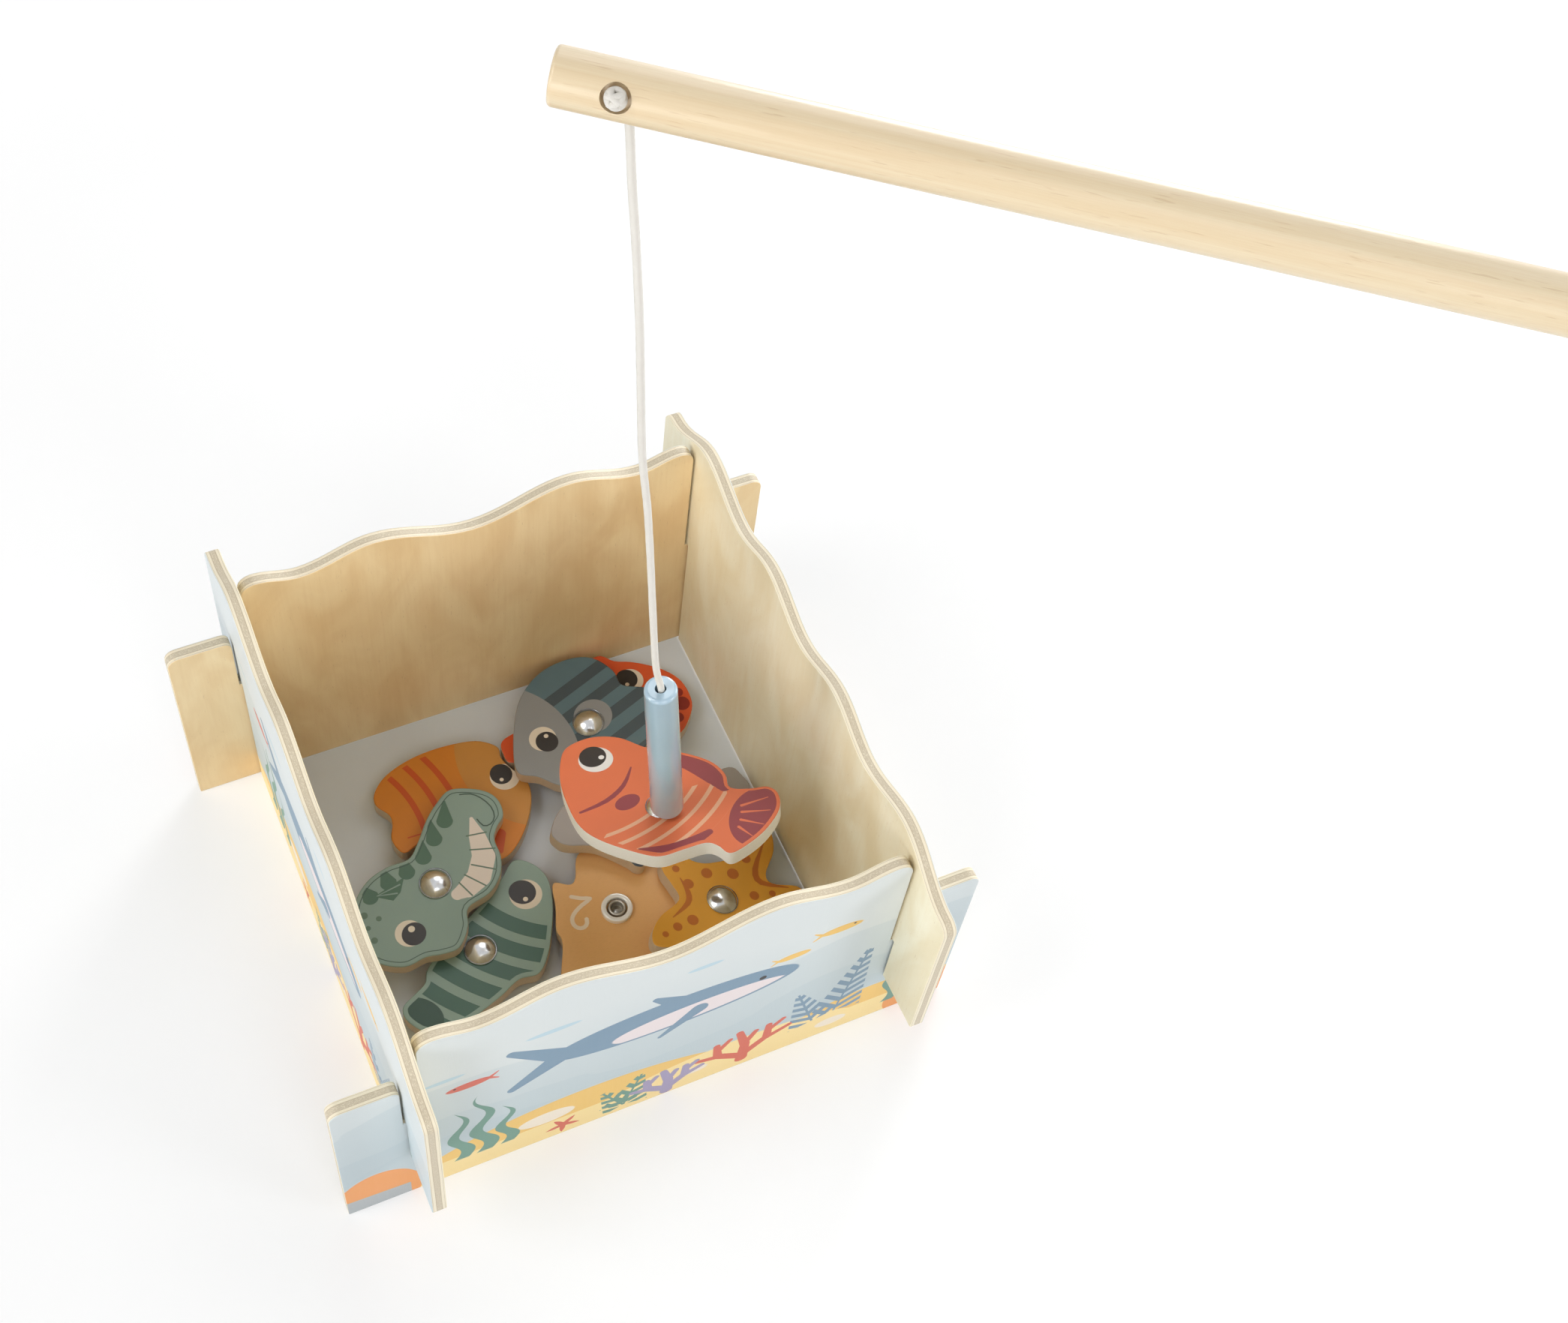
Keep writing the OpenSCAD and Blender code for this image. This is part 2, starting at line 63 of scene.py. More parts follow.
CONTOUR_SOFT = 0.08
CAD_WELD = 0.005 * MM
LATHE_WELD = 0.002 * MM
LATHE_SMOOTH = 40
FLAT_ANGLE = math.radians(0.5)
FIELD = "field"
UP = Vector((0, 0, 1))

Point = tuple[float, float, float]
Flat = tuple[float, float]
Colour = tuple[float, float, float]


def rgb(red: int, green: int, blue: int) -> Colour:
    """Turns a colour of 0 to 255 a channel, as seen on a screen, into the shader's linear one.

    Args:
        red: Red channel.
        green: Green channel.
        blue: Blue channel.

    Returns:
        The three linear channels from 0 to 1.
    """
    def linear(channel: int) -> float:
        """Linear value of one screen channel."""
        value = channel / 255
        return value / 12.92 if value <= 0.04045 else ((value + 0.055) / 1.055) ** 2.4

    return linear(red), linear(green), linear(blue)


WHITE = (1.0, 1.0, 1.0)
BLACK = (0.0, 0.0, 0.0)
EYE_DARK = rgb(36, 31, 30)
EYE_WHITE = rgb(236, 224, 206)
SAND = rgb(250, 224, 160)
DUNE = rgb(240, 198, 112)
SLATE = rgb(122, 150, 172)
BELLY = rgb(236, 224, 224)
BRICK = rgb(214, 104, 84)
AMBER = rgb(240, 196, 104)
SEA_GREEN = rgb(108, 150, 136)
LILAC = rgb(164, 154, 186)
PEBBLE = rgb(244, 232, 214)
ROCK = rgb(238, 160, 92)
STONE = rgb(176, 182, 184)
WAVE = rgb(190, 214, 224)
RUST = rgb(206, 88, 30)
MOSS = rgb(72, 104, 84)
MIST = rgb(138, 160, 150)
REED = rgb(92, 116, 98)
WINE = rgb(150, 66, 72)

PALE_VENEER = (rgb(250, 244, 219), rgb(233, 216, 174))
# Veneer of the back panel: the pale birch made darker and more golden, a painted warm shade that stands in
# for bounce light between the walls.
PAINTED_SHADE_VENEER = (rgb(250, 226, 180), rgb(226, 189, 134))


def maths(operation: str, reflected: bool = False) -> Callable[..., "Value"]:
    """Makes one of the operators of Value.

    Args:
        operation: Name of the Math node's operation.
        reflected: Take the other number first, as 1 - mask does.

    Returns:
        The method.
    """
    def method(value: "Value", other: "Number" = 0.0) -> "Value":
        """Adds the Math node."""
        first, second = (other, value) if reflected else (value, other)
        return value.graph.math(operation, first, second)

    return method


class Value:
    """A number in a shader. Arithmetic on it adds Math nodes to its graph."""

    __add__ = __radd__ = maths("ADD")
    __sub__, __rsub__ = maths("SUBTRACT"), maths("SUBTRACT", reflected=True)
    __mul__ = __rmul__ = maths("MULTIPLY")
    __truediv__, __rtruediv__ = maths("DIVIDE"), maths("DIVIDE", reflected=True)
    __pow__ = maths("POWER")
    __abs__ = maths("ABSOLUTE")
    least = maths("MINIMUM")
    most = maths("MAXIMUM")
    sin = maths("SINE")
    wrap = maths("FLOORED_MODULO")

    def __init__(self, graph: "Graph", socket: bpy.types.NodeSocket) -> None:
        """Keeps the output socket that carries the number, and its graph."""
        self.graph = graph
        self.socket = socket

    def __neg__(self) -> "Value":
        """This number with its sign changed."""
        return self * -1.0

    def step(self, edge: "Number", soft: float) -> "Value":
        """Smooth mask, 0 below an edge and 1 above it, over a width of soft on each side."""
        return self.graph.rise(self, edge, soft, 0.0, 1.0)

    def below(self, edge: "Number", soft: float) -> "Value":
        """Smooth mask, 1 below an edge and 0 above it."""
        return self.graph.rise(self, edge, soft, 1.0, 0.0)


Number = float | Value


class Tint:
    """A colour in a shader."""

    def __init__(self, graph: "Graph", source: Colour | bpy.types.NodeSocket) -> None:
        """Keeps the linear channels of a colour, or its output socket."""
        self.graph = graph
        self.source = source

    def over(self, colour: "Colour | Tint", mask: Number) -> "Tint":
        """Lays another colour over this one.

        Args:
            colour: Colour on top.
            mask: Where the top colour shows, from 0 to 1.

        Returns:
            The mixed colour.
        """
        top = colour.source if isinstance(colour, Tint) else colour
        out = self.graph.node(
            "ShaderNodeMix",
            {"data_type": "RGBA", "clamp_factor": True},
            {0: mask, 6: self.source, 7: top},
            output=2,
        )
        return Tint(self.graph, out)

    def times(self, shade: Number) -> "Tint":
        """Darkens or lightens the colour by a factor."""
        return Tint(self.graph, self.graph.vector("SCALE", {0: self.source, 3: shade}))


@dataclass(frozen=True)
class Place:
    """Frame of a piece: where its own origin lies, and how it is turned."""

    at: Vector
    turn: Matrix

    def local(self, graph: "Graph") -> "Spot":
        """Coordinates of the shaded point in the piece's own frame, in millimetres.

        Args:
            graph: Graph to add the nodes to.

        Returns:
            The three coordinates.
        """
        inputs = {
            "Vector": graph.node("ShaderNodeTexCoord", {}, {}, output="Object"),
            "Location": self.at,
            "Rotation": tuple(self.turn.to_euler("XYZ")),
            "Scale": (MM, MM, MM),
        }
        return Spot(graph, graph.node("ShaderNodeMapping", {"vector_type": "TEXTURE"}, inputs))


PART = Place(Vector((0, 0, 0)), Matrix.Identity(3))


class Graph:
    """The node tree of one material or of the world."""

    def __init__(self, owner: bpy.types.Material | bpy.types.World) -> None:
        """Empties the node tree.

        Args:
            owner: What the tree belongs to.
        """
        owner.use_nodes = True
        self.owner = owner
        self.tree = owner.node_tree
        self.tree.nodes.clear()

    @classmethod
    def material(cls, name: str) -> "Graph":
        """Graph of a new material."""
        return cls(bpy.data.materials.new(name))

    def node(self, kind: str, settings: dict, inputs: dict, output: int | str = 0) -> bpy.types.NodeSocket:
        """Adds one node.

        Args:
            kind: Type of the node.
            settings: Properties, set before the sockets.
            inputs: Values or links of its sockets, by index or name.
            output: Which output to hand back.

        Returns:
            The output socket.
        """
        added = self.tree.nodes.new(kind)
        for key, setting in settings.items():
            setattr(added, key, setting)
        for key, given in inputs.items():
            self.feed(added.inputs[key], given)
        return added.outputs[output]

    def feed(self, socket: bpy.types.NodeSocket, given: object) -> None:
        """Sets a socket's value or links it.

        Args:
            socket: Input socket.
            given: Number, colour, point, output socket, Value or Tint.
        """
        source = given.socket if isinstance(given, Value) else given
        source = source.source if isinstance(source, Tint) else source
        if isinstance(source, bpy.types.NodeSocket):
            self.tree.links.new(source, socket)
        elif socket.type == "RGBA" and len(source) == 3:
            socket.default_value = (*source, 1)
        else:
            socket.default_value = source

    def math(self, operation: str, a: Number, b: Number = 0.0) -> Value:
        """Result of a new Math node."""
        return Value(self, self.node("ShaderNodeMath", {"operation": operation}, {0: a, 1: b}))

    def rise(self, value: Value, edge: Number, soft: float, before: float, after: float) -> Value:
        """Smooth change round an edge.

        Args:
            value: The number that crosses the edge.
            edge: Value at which the change is half done.
            soft: Width of the change on each side of the edge.
            before: Result below the edge.
            after: Result above it.

        Returns:
            The result.
        """
        if isinstance(edge, Value):
            value, edge = value - edge, 0.0
        settings = {"interpolation_type": "SMOOTHSTEP", "clamp": False}
        inputs = {0: value, 1: edge - soft, 2: edge + soft, 3: before, 4: after}
        return Value(self, self.node("ShaderNodeMapRange", settings, inputs))

    def noise(self, vector: bpy.types.NodeSocket, scale: float, detail: float = 3.0,
              rough: float = 0.5, warp: float = 0.0) -> Value:
        """Noise from 0 to 1, by its scale, its octaves, their strength and its distortion."""
        inputs = {"Vector": vector, "Scale": scale, "Detail": detail, "Roughness": rough, "Distortion": warp}
        return Value(self, self.node("ShaderNodeTexNoise", {}, inputs, output="Fac"))

    def bump(self, height: Value, depth: float, strength: float = 1.0) -> bpy.types.NodeSocket:
        """Normal of a bump of a height from 0 to 1 and a depth in metres."""
        inputs = {"Height": height, "Distance": depth, "Strength": strength}
        return self.node("ShaderNodeBump", {}, inputs, output="Normal")

    def vector(self, operation: str, inputs: dict, output: int = 0) -> bpy.types.NodeSocket:
        """Output of a new Vector Math node."""
        return self.node("ShaderNodeVectorMath", {"operation": operation}, inputs, output)

    def length(self, vector: bpy.types.NodeSocket) -> Value:
        """Length of a vector."""
        return Value(self, self.vector("LENGTH", {0: vector}, output=1))

    def dot(self, vector: bpy.types.NodeSocket, other: Point | Vector) -> Value:
        """Dot product of a vector with a fixed one."""
        return Value(self, self.vector("DOT_PRODUCT", {0: vector, 1: other}, output=1))

    def distance(self, vector: bpy.types.NodeSocket, other: Point | bpy.types.NodeSocket) -> Value:
        """Distance between two vectors."""
        return Value(self, self.vector("DISTANCE", {0: vector, 1: other}, output=1))

    def finish(self, **sockets: object) -> bpy.types.Material:
        """Closes the material with a principled shader.

        Args:
            sockets: Its inputs, with underscores for spaces.

        Returns:
            The material.
        """
        inputs = {name.replace("_", " "): given for name, given in sockets.items()}
        self.close("ShaderNodeOutputMaterial", self.node("ShaderNodeBsdfPrincipled", {}, inputs))
        return self.owner

    def close(self, kind: str, shader: bpy.types.NodeSocket) -> None:
        """Links a shader to a new output node of a kind."""
        self.tree.links.new(shader, self.tree.nodes.new(kind).inputs["Surface"])

    def seen(self) -> Value:
        """Whether the camera sees the point, also in a reflection or through glass.

        Returns:
            1 where it does, and 0 for light.
        """
        rays = self.tree.nodes.new("ShaderNodeLightPath").outputs
        straight, mirrored, through = (
            Value(self, rays[f"Is {kind} Ray"]) for kind in ("Camera", "Glossy", "Transmission"))
        return straight.most(mirrored).most(through)


class Spot:
    """The shaded point in a frame, as a vector and as its three coordinates."""

    def __init__(self, graph: Graph, vector: bpy.types.NodeSocket) -> None:
        """Splits the vector once.

        Args:
            graph: Graph that the vector belongs to.
            vector: Socket of the vector.
        """
        self.graph = graph
        self.vector = vector
        split = graph.tree.nodes.new("ShaderNodeSeparateXYZ")
        graph.tree.links.new(vector, split.inputs[0])
        self.x, self.y, self.z = (Value(graph, split.outputs[i]) for i in range(3))
        self.flat = graph.node("ShaderNodeCombineXYZ", {}, {0: self.x, 1: self.y})

    def grain(self, x: float, y: float, z: float, detail: float, rough: float = 0.5,
              warp: float = 0.0) -> Value:
        """Noise of the point, with the frequency along each axis given."""
        stretched = self.graph.vector("MULTIPLY", {0: self.vector, 1: (x, y, z)})
        return self.graph.noise(stretched, 1.0, detail, rough, warp)


@dataclass(frozen=True)
class Camera:
    """The camera of the photograph, looking down into the pond."""

    picture: tuple[int, int] = (2090, 1764)
    focal_px: float = 2825.14
    centre_px: tuple[float, float] = (908.11, 888.19)
    sensor_mm: float = 36
    near_m: float = 0.01
    at: Point = (-0.135078, -0.236265, 0.695415)
    right: Point = (0.91746179, -0.39339932, 0.05916795)
    forward: Point = (0.25791797, 0.47495785, -0.84136399)

    def build(self) -> None:
        """Adds the camera and makes it the scene's."""
        width, height = self.picture
        data = bpy.data.cameras.new("camera")
        data.sensor_width = self.sensor_mm
        data.lens = self.focal_px * self.sensor_mm / width
        data.shift_x = (width / 2 - self.centre_px[0]) / width
        data.shift_y = (self.centre_px[1] - height / 2) / width
        data.clip_start = self.near_m
        back = -Vector(self.forward).normalized()
        up = back.cross(Vector(self.right)).normalized()
        turn = Matrix((up.cross(back), up, back)).transposed()
        camera = placed("camera", data)
        camera.matrix_world = Matrix.Translation(self.at) @ turn.to_4x4()
        bpy.context.scene.camera = camera


@dataclass(frozen=True)
class SoftBox:
    """One round soft lamp, by its bearing and height as seen from the pond."""

    name: str
    bearing: float
    height: float
    watts: float
    size: float = 0.6
    reach: float = 1.6
    aim: Point = (0.0, 0.09, 0.08)

    def build(self) -> None:
        """Adds the lamp, turned to the pond."""
        data = bpy.data.lights.new(self.name, "AREA")
        data.shape = "DISK"
        data.size = self.size
        data.energy = self.watts
        lamp = placed(self.name, data)
        turn = Euler((0, -math.radians(self.height), math.radians(self.bearing)))
        way = turn.to_matrix() @ Vector((1, 0, 0))
        lamp.location = Vector(self.aim) + self.reach * way
        lamp.rotation_euler = (-way).to_track_quat("-Z", "Y").to_euler()


@dataclass(frozen=True)
class Studio:
    """White table between a ring of low lamps and a few high ones."""

    floor_half: float = 3.0
    table: Colour = rgb(222, 224, 227)
    # Colour the camera sees on the floor inside the pond: a painted shade, darker and cooler than the white
    # outside.
    painted_shade_inside: Colour = rgb(226, 234, 243)
    pond_half: Flat = (82 * MM, 84 * MM)
    near: float = 0.45
    fade: float = 0.25
    lift: float = 0.4
    edge: float = 0.01
    world_level: float = 0.04
    lamps: tuple[SoftBox, ...] = (
        SoftBox("low_right", 0, 15, 6.4),
        SoftBox("low_left", 180, 15, 7.2),
        SoftBox("low_front_left", 225, 15, 5.6),
        SoftBox("low_front", 270, 15, 3.2),
        SoftBox("low_front_right", 315, 15, 6.0),
        SoftBox("low_back_right", 45, 15, 11.0),
        SoftBox("high_right", 0, 50, 2.6, 0.9),
        SoftBox("high_left", 180, 50, 7.8, 0.9),
        SoftBox("high_front", 262, 46, 4.2, 0.9),
        SoftBox("high_back_right", 55, 54, 5.6, 0.9),
    )

    def build(self) -> None:
        """Adds the table, the world and the lamps."""
        bpy.context.scene.view_settings.view_transform = "Standard"
        bpy.ops.object.select_all(action="DESELECT")
        bpy.ops.mesh.primitive_plane_add(size=2 * self.floor_half, location=(0, 0, 0))
        table = bpy.context.active_object
        table.name = "table"
        table.data.materials.append(self.table_finish())
        self.light_world()
        for lamp in self.lamps:
            lamp.build()

    def table_finish(self) -> bpy.types.Material:
        """Pale matt table that keeps the shadow and turns white for the camera; near the pond its glow only
        lightens the shadow, and inside the pond it shows a painted shade, darker and cooler.

        Returns:
            The material.
        """
        graph = Graph.material("table_white")
        seen = graph.seen()
        spot = Spot(graph, graph.node("ShaderNodeTexCoord", {}, {}, output="Object"))
        grain = graph.noise(spot.vector, 40.0)
        across = abs(spot.x) / self.pond_half[0]
        along = abs(spot.y - POND_MIDDLE_Y) / self.pond_half[1]
        inside = across.most(along).below(1.0, self.edge)
        far = graph.distance(spot.vector, (0, POND_MIDDLE_Y, 0)).step(self.near, self.fade)
        lit = far.most(self.lift) * (1 - inside)
        # Inside the pond the camera sees the painted shade colour in place of white.
        shown = Tint(graph, WHITE).over(self.painted_shade_inside, inside).over(BLACK, lit)
        pale = Tint(graph, self.table).over(shown, seen)
        glow = Tint(graph, BLACK).over(WHITE, seen * lit)
        return graph.finish(Base_Color=pale, Roughness=grain * 0.1 + 0.85, Emission_Color=glow,
                            Emission_Strength=1.0)

    def light_world(self) -> None:
        """Even light from all round, white where the camera sees it."""
        world = bpy.data.worlds.new("studio")
        graph = Graph(world)
        level = graph.node("ShaderNodeMix", {}, {0: graph.seen(), 2: self.world_level, 3: 1.0})
        inputs = {"Color": WHITE, "Strength": level}
        graph.close("ShaderNodeOutputWorld", graph.node("ShaderNodeBackground", {}, inputs))
        bpy.context.scene.world = world


def curve_point(a: Vector, b: Vector, c: Vector, d: Vector, t: float) -> Vector:
    """Point at t on the curve through b and c, with neighbours a and d."""
    return (2 * b + (c - a) * t + (2 * a - 5 * b + 4 * c - d) * t * t + (3 * b - a - 3 * c + d) * t ** 3) / 2


def smooth_route(points: Sequence[Vector], steps: int) -> list[Vector]:
    """Open smooth curve through points.

    Args:
        points: Points that it passes through.
        steps: Steps between two points.

    Returns:
        Points along the curve.
    """
    last = len(points) - 1
    route = [
        curve_point(points[max(i - 1, 0)], points[i], points[i + 1], points[min(i + 2, last)], k / steps)
        for i in range(last)
        for k in range(steps)
    ]
    return route + [points[last]]


def tube_mesh(name: str, path: Sequence[Vector], radius: Callable[[float, float], float], sides: int,
              closed: bool = False) -> bpy.types.Object:
    """Tube along a path, with a UV map of metres along it and turns round it.

    Args:
        name: Name of the object.
        path: Points of its middle line.
        radius: Radius at a distance along the path and an angle round it.
        sides: Sides of the tube.
        closed: Join the end to the start.

    Returns:
        The tube's object.
    """
    count = len(path)
    points, faces, along = [], [], []
    run = 0.0
    side = Vector((1, 0, 0))
    for i, middle in enumerate(path):
        before = path[i - 1] if closed or i else middle
        after = path[(i + 1) % count] if closed or i + 1 < count else middle
        direction = (after - before).normalized()
        side = (side - direction * side.dot(direction)).normalized()
        other = direction.cross(side)
        run += (middle - path[i - 1]).length if i else 0.0
        along.append(run)
        for k in range(sides):
            angle = math.tau * k / sides
            reach = radius(run, angle)
            points.append(middle + reach * (math.cos(angle) * side + math.sin(angle) * other))
    rings = count if closed else count - 1
    for i in range(rings):
        for k in range(sides):
            a, b = i * sides, ((i + 1) % count) * sides
            n = (k + 1) % sides
            faces.append((a + k, a + n, b + n, b + k))
    if not closed:
        faces.append(tuple(reversed(range(sides))))
        faces.append(tuple((count - 1) * sides + k for k in range(sides)))
    mesh = bpy.data.meshes.new(name)
    mesh.from_pydata(points, [], faces)
    uv = mesh.uv_layers.new(name="along")
    for polygon in mesh.polygons:
        turned = [mesh.loops[i].vertex_index % sides for i in polygon.loop_indices]
        wraps = max(turned) - min(turned) > sides / 2
        for loop_index, k in zip(polygon.loop_indices, turned):
            ring = mesh.loops[loop_index].vertex_index // sides
            turn = (k + sides if wraps and k < sides / 2 else k) / sides
            uv.data[loop_index].uv = (along[ring], turn)
        polygon.use_smooth = len(polygon.vertices) == 4
    return placed(name, mesh)


def placed(name: str, data: bpy.types.ID) -> bpy.types.Object:
    """New object of the scene, at the origin.

    Args:
        name: Name of the object.
        data: Its mesh, lamp or camera.

    Returns:
        The object.
    """
    added = bpy.data.objects.new(name, data)
    bpy.context.scene.collection.objects.link(added)
    return added


def pick(piece: bpy.types.Object) -> None:
    """Selects one piece only and makes it active.

    Args:
        piece: The piece.
    """
    bpy.ops.object.select_all(action="DESELECT")
    piece.select_set(True)
    bpy.context.view_layer.objects.active = piece


@contextmanager
def editing(piece: bpy.types.Object) -> Iterator[bmesh.types.BMesh]:
    """Edit mode on one piece, with nothing selected.

    Args:
        piece: The piece to edit.

    Yields:
        Its edit mesh.
    """
    pick(piece)
    bpy.ops.object.mode_set(mode="EDIT")
    bpy.ops.mesh.select_all(action="DESELECT")
    yield bmesh.from_edit_mesh(piece.data)
    bmesh.update_edit_mesh(piece.data)
    bpy.ops.object.mode_set(mode="OBJECT")


def apply_modifier(piece: bpy.types.Object, kind: str, **settings: object) -> None:
    """Adds a modifier and applies it.

    Args:
        piece: The piece.
        kind: Type of the modifier.
        settings: Its settings.
    """
    modifier = piece.modifiers.new(kind.title(), kind)
    for key, value in settings.items():
        setattr(modifier, key, value)
    pick(piece)
    bpy.ops.object.modifier_apply(modifier=modifier.name)


def copy_of(node: str, name: str) -> bpy.types.Object:
    """Copy of a CAD node as one closed mesh with flat faces whole.

    Args:
        node: The CAD node.
        name: Name of the copy.

    Returns:
        The copy.
    """
    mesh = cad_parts[node].data.copy()
    mesh.materials.clear()
    piece = placed(name, mesh)
    with editing(piece):
        bpy.ops.mesh.select_all(action="SELECT")
        bpy.ops.mesh.customdata_custom_splitnormals_clear()
        bpy.ops.mesh.remove_doubles(threshold=CAD_WELD)
        bpy.ops.mesh.dissolve_limited(angle_limit=FLAT_ANGLE)
    return piece


def sand(piece: bpy.types.Object, rim: float, sharp: float, steps: int) -> None:
    """Rounds every rim of a piece that is sharper than an angle in degrees."""
    apply_modifier(piece, "BEVEL", width=rim, segments=steps, limit_method="ANGLE",
                   angle_limit=math.radians(sharp))


def shade(piece: bpy.types.Object, smooth: float, flat_faces: bool = True) -> None:
    """Shades a piece smooth across its small angles.

    Args:
        piece: The piece.
        smooth: Greatest angle that is shaded smooth.
        flat_faces: Keep its large faces flat.
    """
    pick(piece)
    bpy.ops.object.shade_smooth_by_angle(angle=math.radians(smooth))
    if flat_faces:
        apply_modifier(piece, "WEIGHTED_NORMAL", keep_sharp=True)


def lathe(name: str, profile: Sequence[Flat], place: Place, steps: int = 56) -> bpy.types.Object:
    """Turned piece, spun round the Z axis of a frame.

    Args:
        name: Name of the object.
        profile: Radius and height of its outline in millimetres, from axis to axis.
        place: The frame.
        steps: Faces round the axis.

    Returns:
        The piece.
    """
    points = [place.at + place.turn @ Vector((radius, 0, height)) * MM for radius, height in profile]
    mesh = bpy.data.meshes.new(name)
    mesh.from_pydata(points, [(i, i + 1) for i in range(len(points) - 1)], [])
    piece = placed(name, mesh)
    with editing(piece):
        bpy.ops.mesh.select_all(action="SELECT")
        bpy.ops.mesh.spin(steps=steps, angle=math.tau, center=place.at, axis=place.turn @ UP)
        bpy.ops.mesh.select_all(action="SELECT")
        bpy.ops.mesh.remove_doubles(threshold=LATHE_WELD)
        bpy.ops.mesh.normals_make_consistent(inside=False)
    shade(piece, LATHE_SMOOTH, flat_faces=False)
    return piece


def arc(centre: Flat, radius: float, start: float, end: float, steps: int) -> list[Flat]:
    """Points on an arc of a profile, by angles in degrees."""
    angles = [math.radians(start + (end - start) * i / steps) for i in range(steps + 1)]
    return [(centre[0] + radius * math.cos(a), centre[1] + radius * math.sin(a)) for a in angles]


def stand_for(piece: bpy.types.Object, node: str, finish: bpy.types.Material) -> None:
    """Gives a piece its finish and puts it in a CAD node's place.

    Args:
        piece: The piece.
        node: The CAD node that it replaces.
        finish: Its material.
    """
    piece.data.materials.clear()
    piece.data.materials.append(finish)
    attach(piece, BODY)
    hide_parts(node)


def dress(node: str, finish: bpy.types.Material) -> None:
    """Gives a CAD node that stays a better material."""
    for material_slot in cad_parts[node].material_slots:
        material_slot.material = finish


@dataclass(frozen=True)
class Disc:
    """Printed ellipse, in millimetres."""

    at: Flat
    radii: Flat
    turn: float = 0.0

    def mask(self, spot: Spot) -> Value:
        """Where the ellipse is, from 0 to 1.

        Args:
            spot: The shaded point in the print's frame.

        Returns:
            The mask.
        """
        inputs = {
            "Vector": spot.flat, "Location": (*self.at, 0), "Rotation": (0, 0, math.radians(self.turn)),
            "Scale": (*self.radii, 1),
        }
        moved = spot.graph.node("ShaderNodeMapping", {"vector_type": "TEXTURE"}, inputs)
        return spot.graph.length(moved).below(1.0, PRINT_SOFT / min(self.radii))


@dataclass(frozen=True)
class Stroke:
    """Printed stroke through points, with a radius at each, in millimetres."""

    points: tuple[Flat, ...]
    radii: tuple[float, ...]
    steps: int = 1

    def route(self) -> list[Vector]:
        """Points of the stroke, with the radius at each as the third coordinate.

        Returns:
            The points.
        """
        last = len(self.radii) - 1
        knots = [Vector((*point, self.radii[min(i, last)])) for i, point in enumerate(self.points)]
        return smooth_route(knots, self.steps)

    def mask(self, spot: Spot) -> Value:
        """Where the stroke is, from 0 to 1.

        Args:
            spot: The shaded point in the print's frame.

        Returns:
            The mask.
        """
        route = self.route()
        gaps = [self.gap(spot, start, end) for start, end in zip(route, route[1:])]
        return reduce(Value.least, gaps).below(0.0, PRINT_SOFT)

    def gap(self, spot: Spot, start: Vector, end: Vector) -> Value:
        """Distance from the edge of one straight piece of the stroke, negative inside.

        Args:
            spot: The shaded point in the print's frame.
            start: One end, with the radius as its third coordinate.
            end: The other end.

        Returns:
            The distance.
        """
        graph = spot.graph
        a = Vector((start.x, start.y, 0))
        along = Vector((end.x, end.y, 0)) - a
        off = graph.vector("SUBTRACT", {0: spot.flat, 1: a})
        share = graph.dot(off, along / along.length_squared)
        share = Value(graph, graph.node("ShaderNodeClamp", {}, {0: share}))
        foot = graph.vector("SCALE", {0: along, 3: share})
        radius = start.z if start.z == end.z else share * (end.z - start.z) + start.z
        return graph.distance(off, foot) - radius


@dataclass(frozen=True)
class Arcs:
    """Printed stripes on circles round one point, in millimetres."""

    centre: Flat
    first: float
    pitch: float
    width: float
    count: float

    def mask(self, spot: Spot) -> Value:
        """Where the stripes are, from 0 to 1.

        Args:
            spot: The shaded point in the print's frame.

        Returns:
            The mask.
        """
        reach = spot.graph.distance(spot.flat, (*self.centre, 0))
        stripe = (reach - self.first).wrap(self.pitch).below(self.width, PRINT_SOFT)
        return stripe * reach.step(self.first, PRINT_SOFT) * reach.below(
            self.first + self.count * self.pitch, PRINT_SOFT)


@dataclass(frozen=True)
class Patch:
    """Printed convex shape with its corners counterclockwise, in millimetres."""

    corners: tuple[Flat, ...]

    def mask(self, spot: Spot) -> Value:
        """Where the shape is, from 0 to 1.

        Args:
            spot: The shaded point in the print's frame.

        Returns:
            The mask.
        """
        insides = []
        for a, b in zip(self.corners, self.corners[1:] + self.corners[:1]):
            side = Vector((a[1] - b[1], b[0] - a[0], 0)).normalized()
            insides.append(spot.graph.dot(spot.flat, side) - side.dot(Vector((*a, 0))))
        return reduce(Value.least, insides).step(0.0, PRINT_SOFT)


@dataclass(frozen=True)
class Blade:
    """Printed blade of weed that sways as it rises, in millimetres."""

    foot: Flat
    height: float
    width: float
    sway: float
    waves: float = 1.6

    def mask(self, spot: Spot) -> Value:
        """Where the blade is, from 0 to 1.

        Args:
            spot: The shaded point in the print's frame.

        Returns:
            The mask.
        """
        rise = (spot.y - self.foot[1]) / self.height
        bend = (rise * (self.waves * math.tau)).sin() * self.sway
        gap = abs(spot.x - self.foot[0] - bend) - (1 - rise * rise) * self.width
        return gap.below(0.0, PRINT_SOFT) * rise.step(0.0, 0.01)


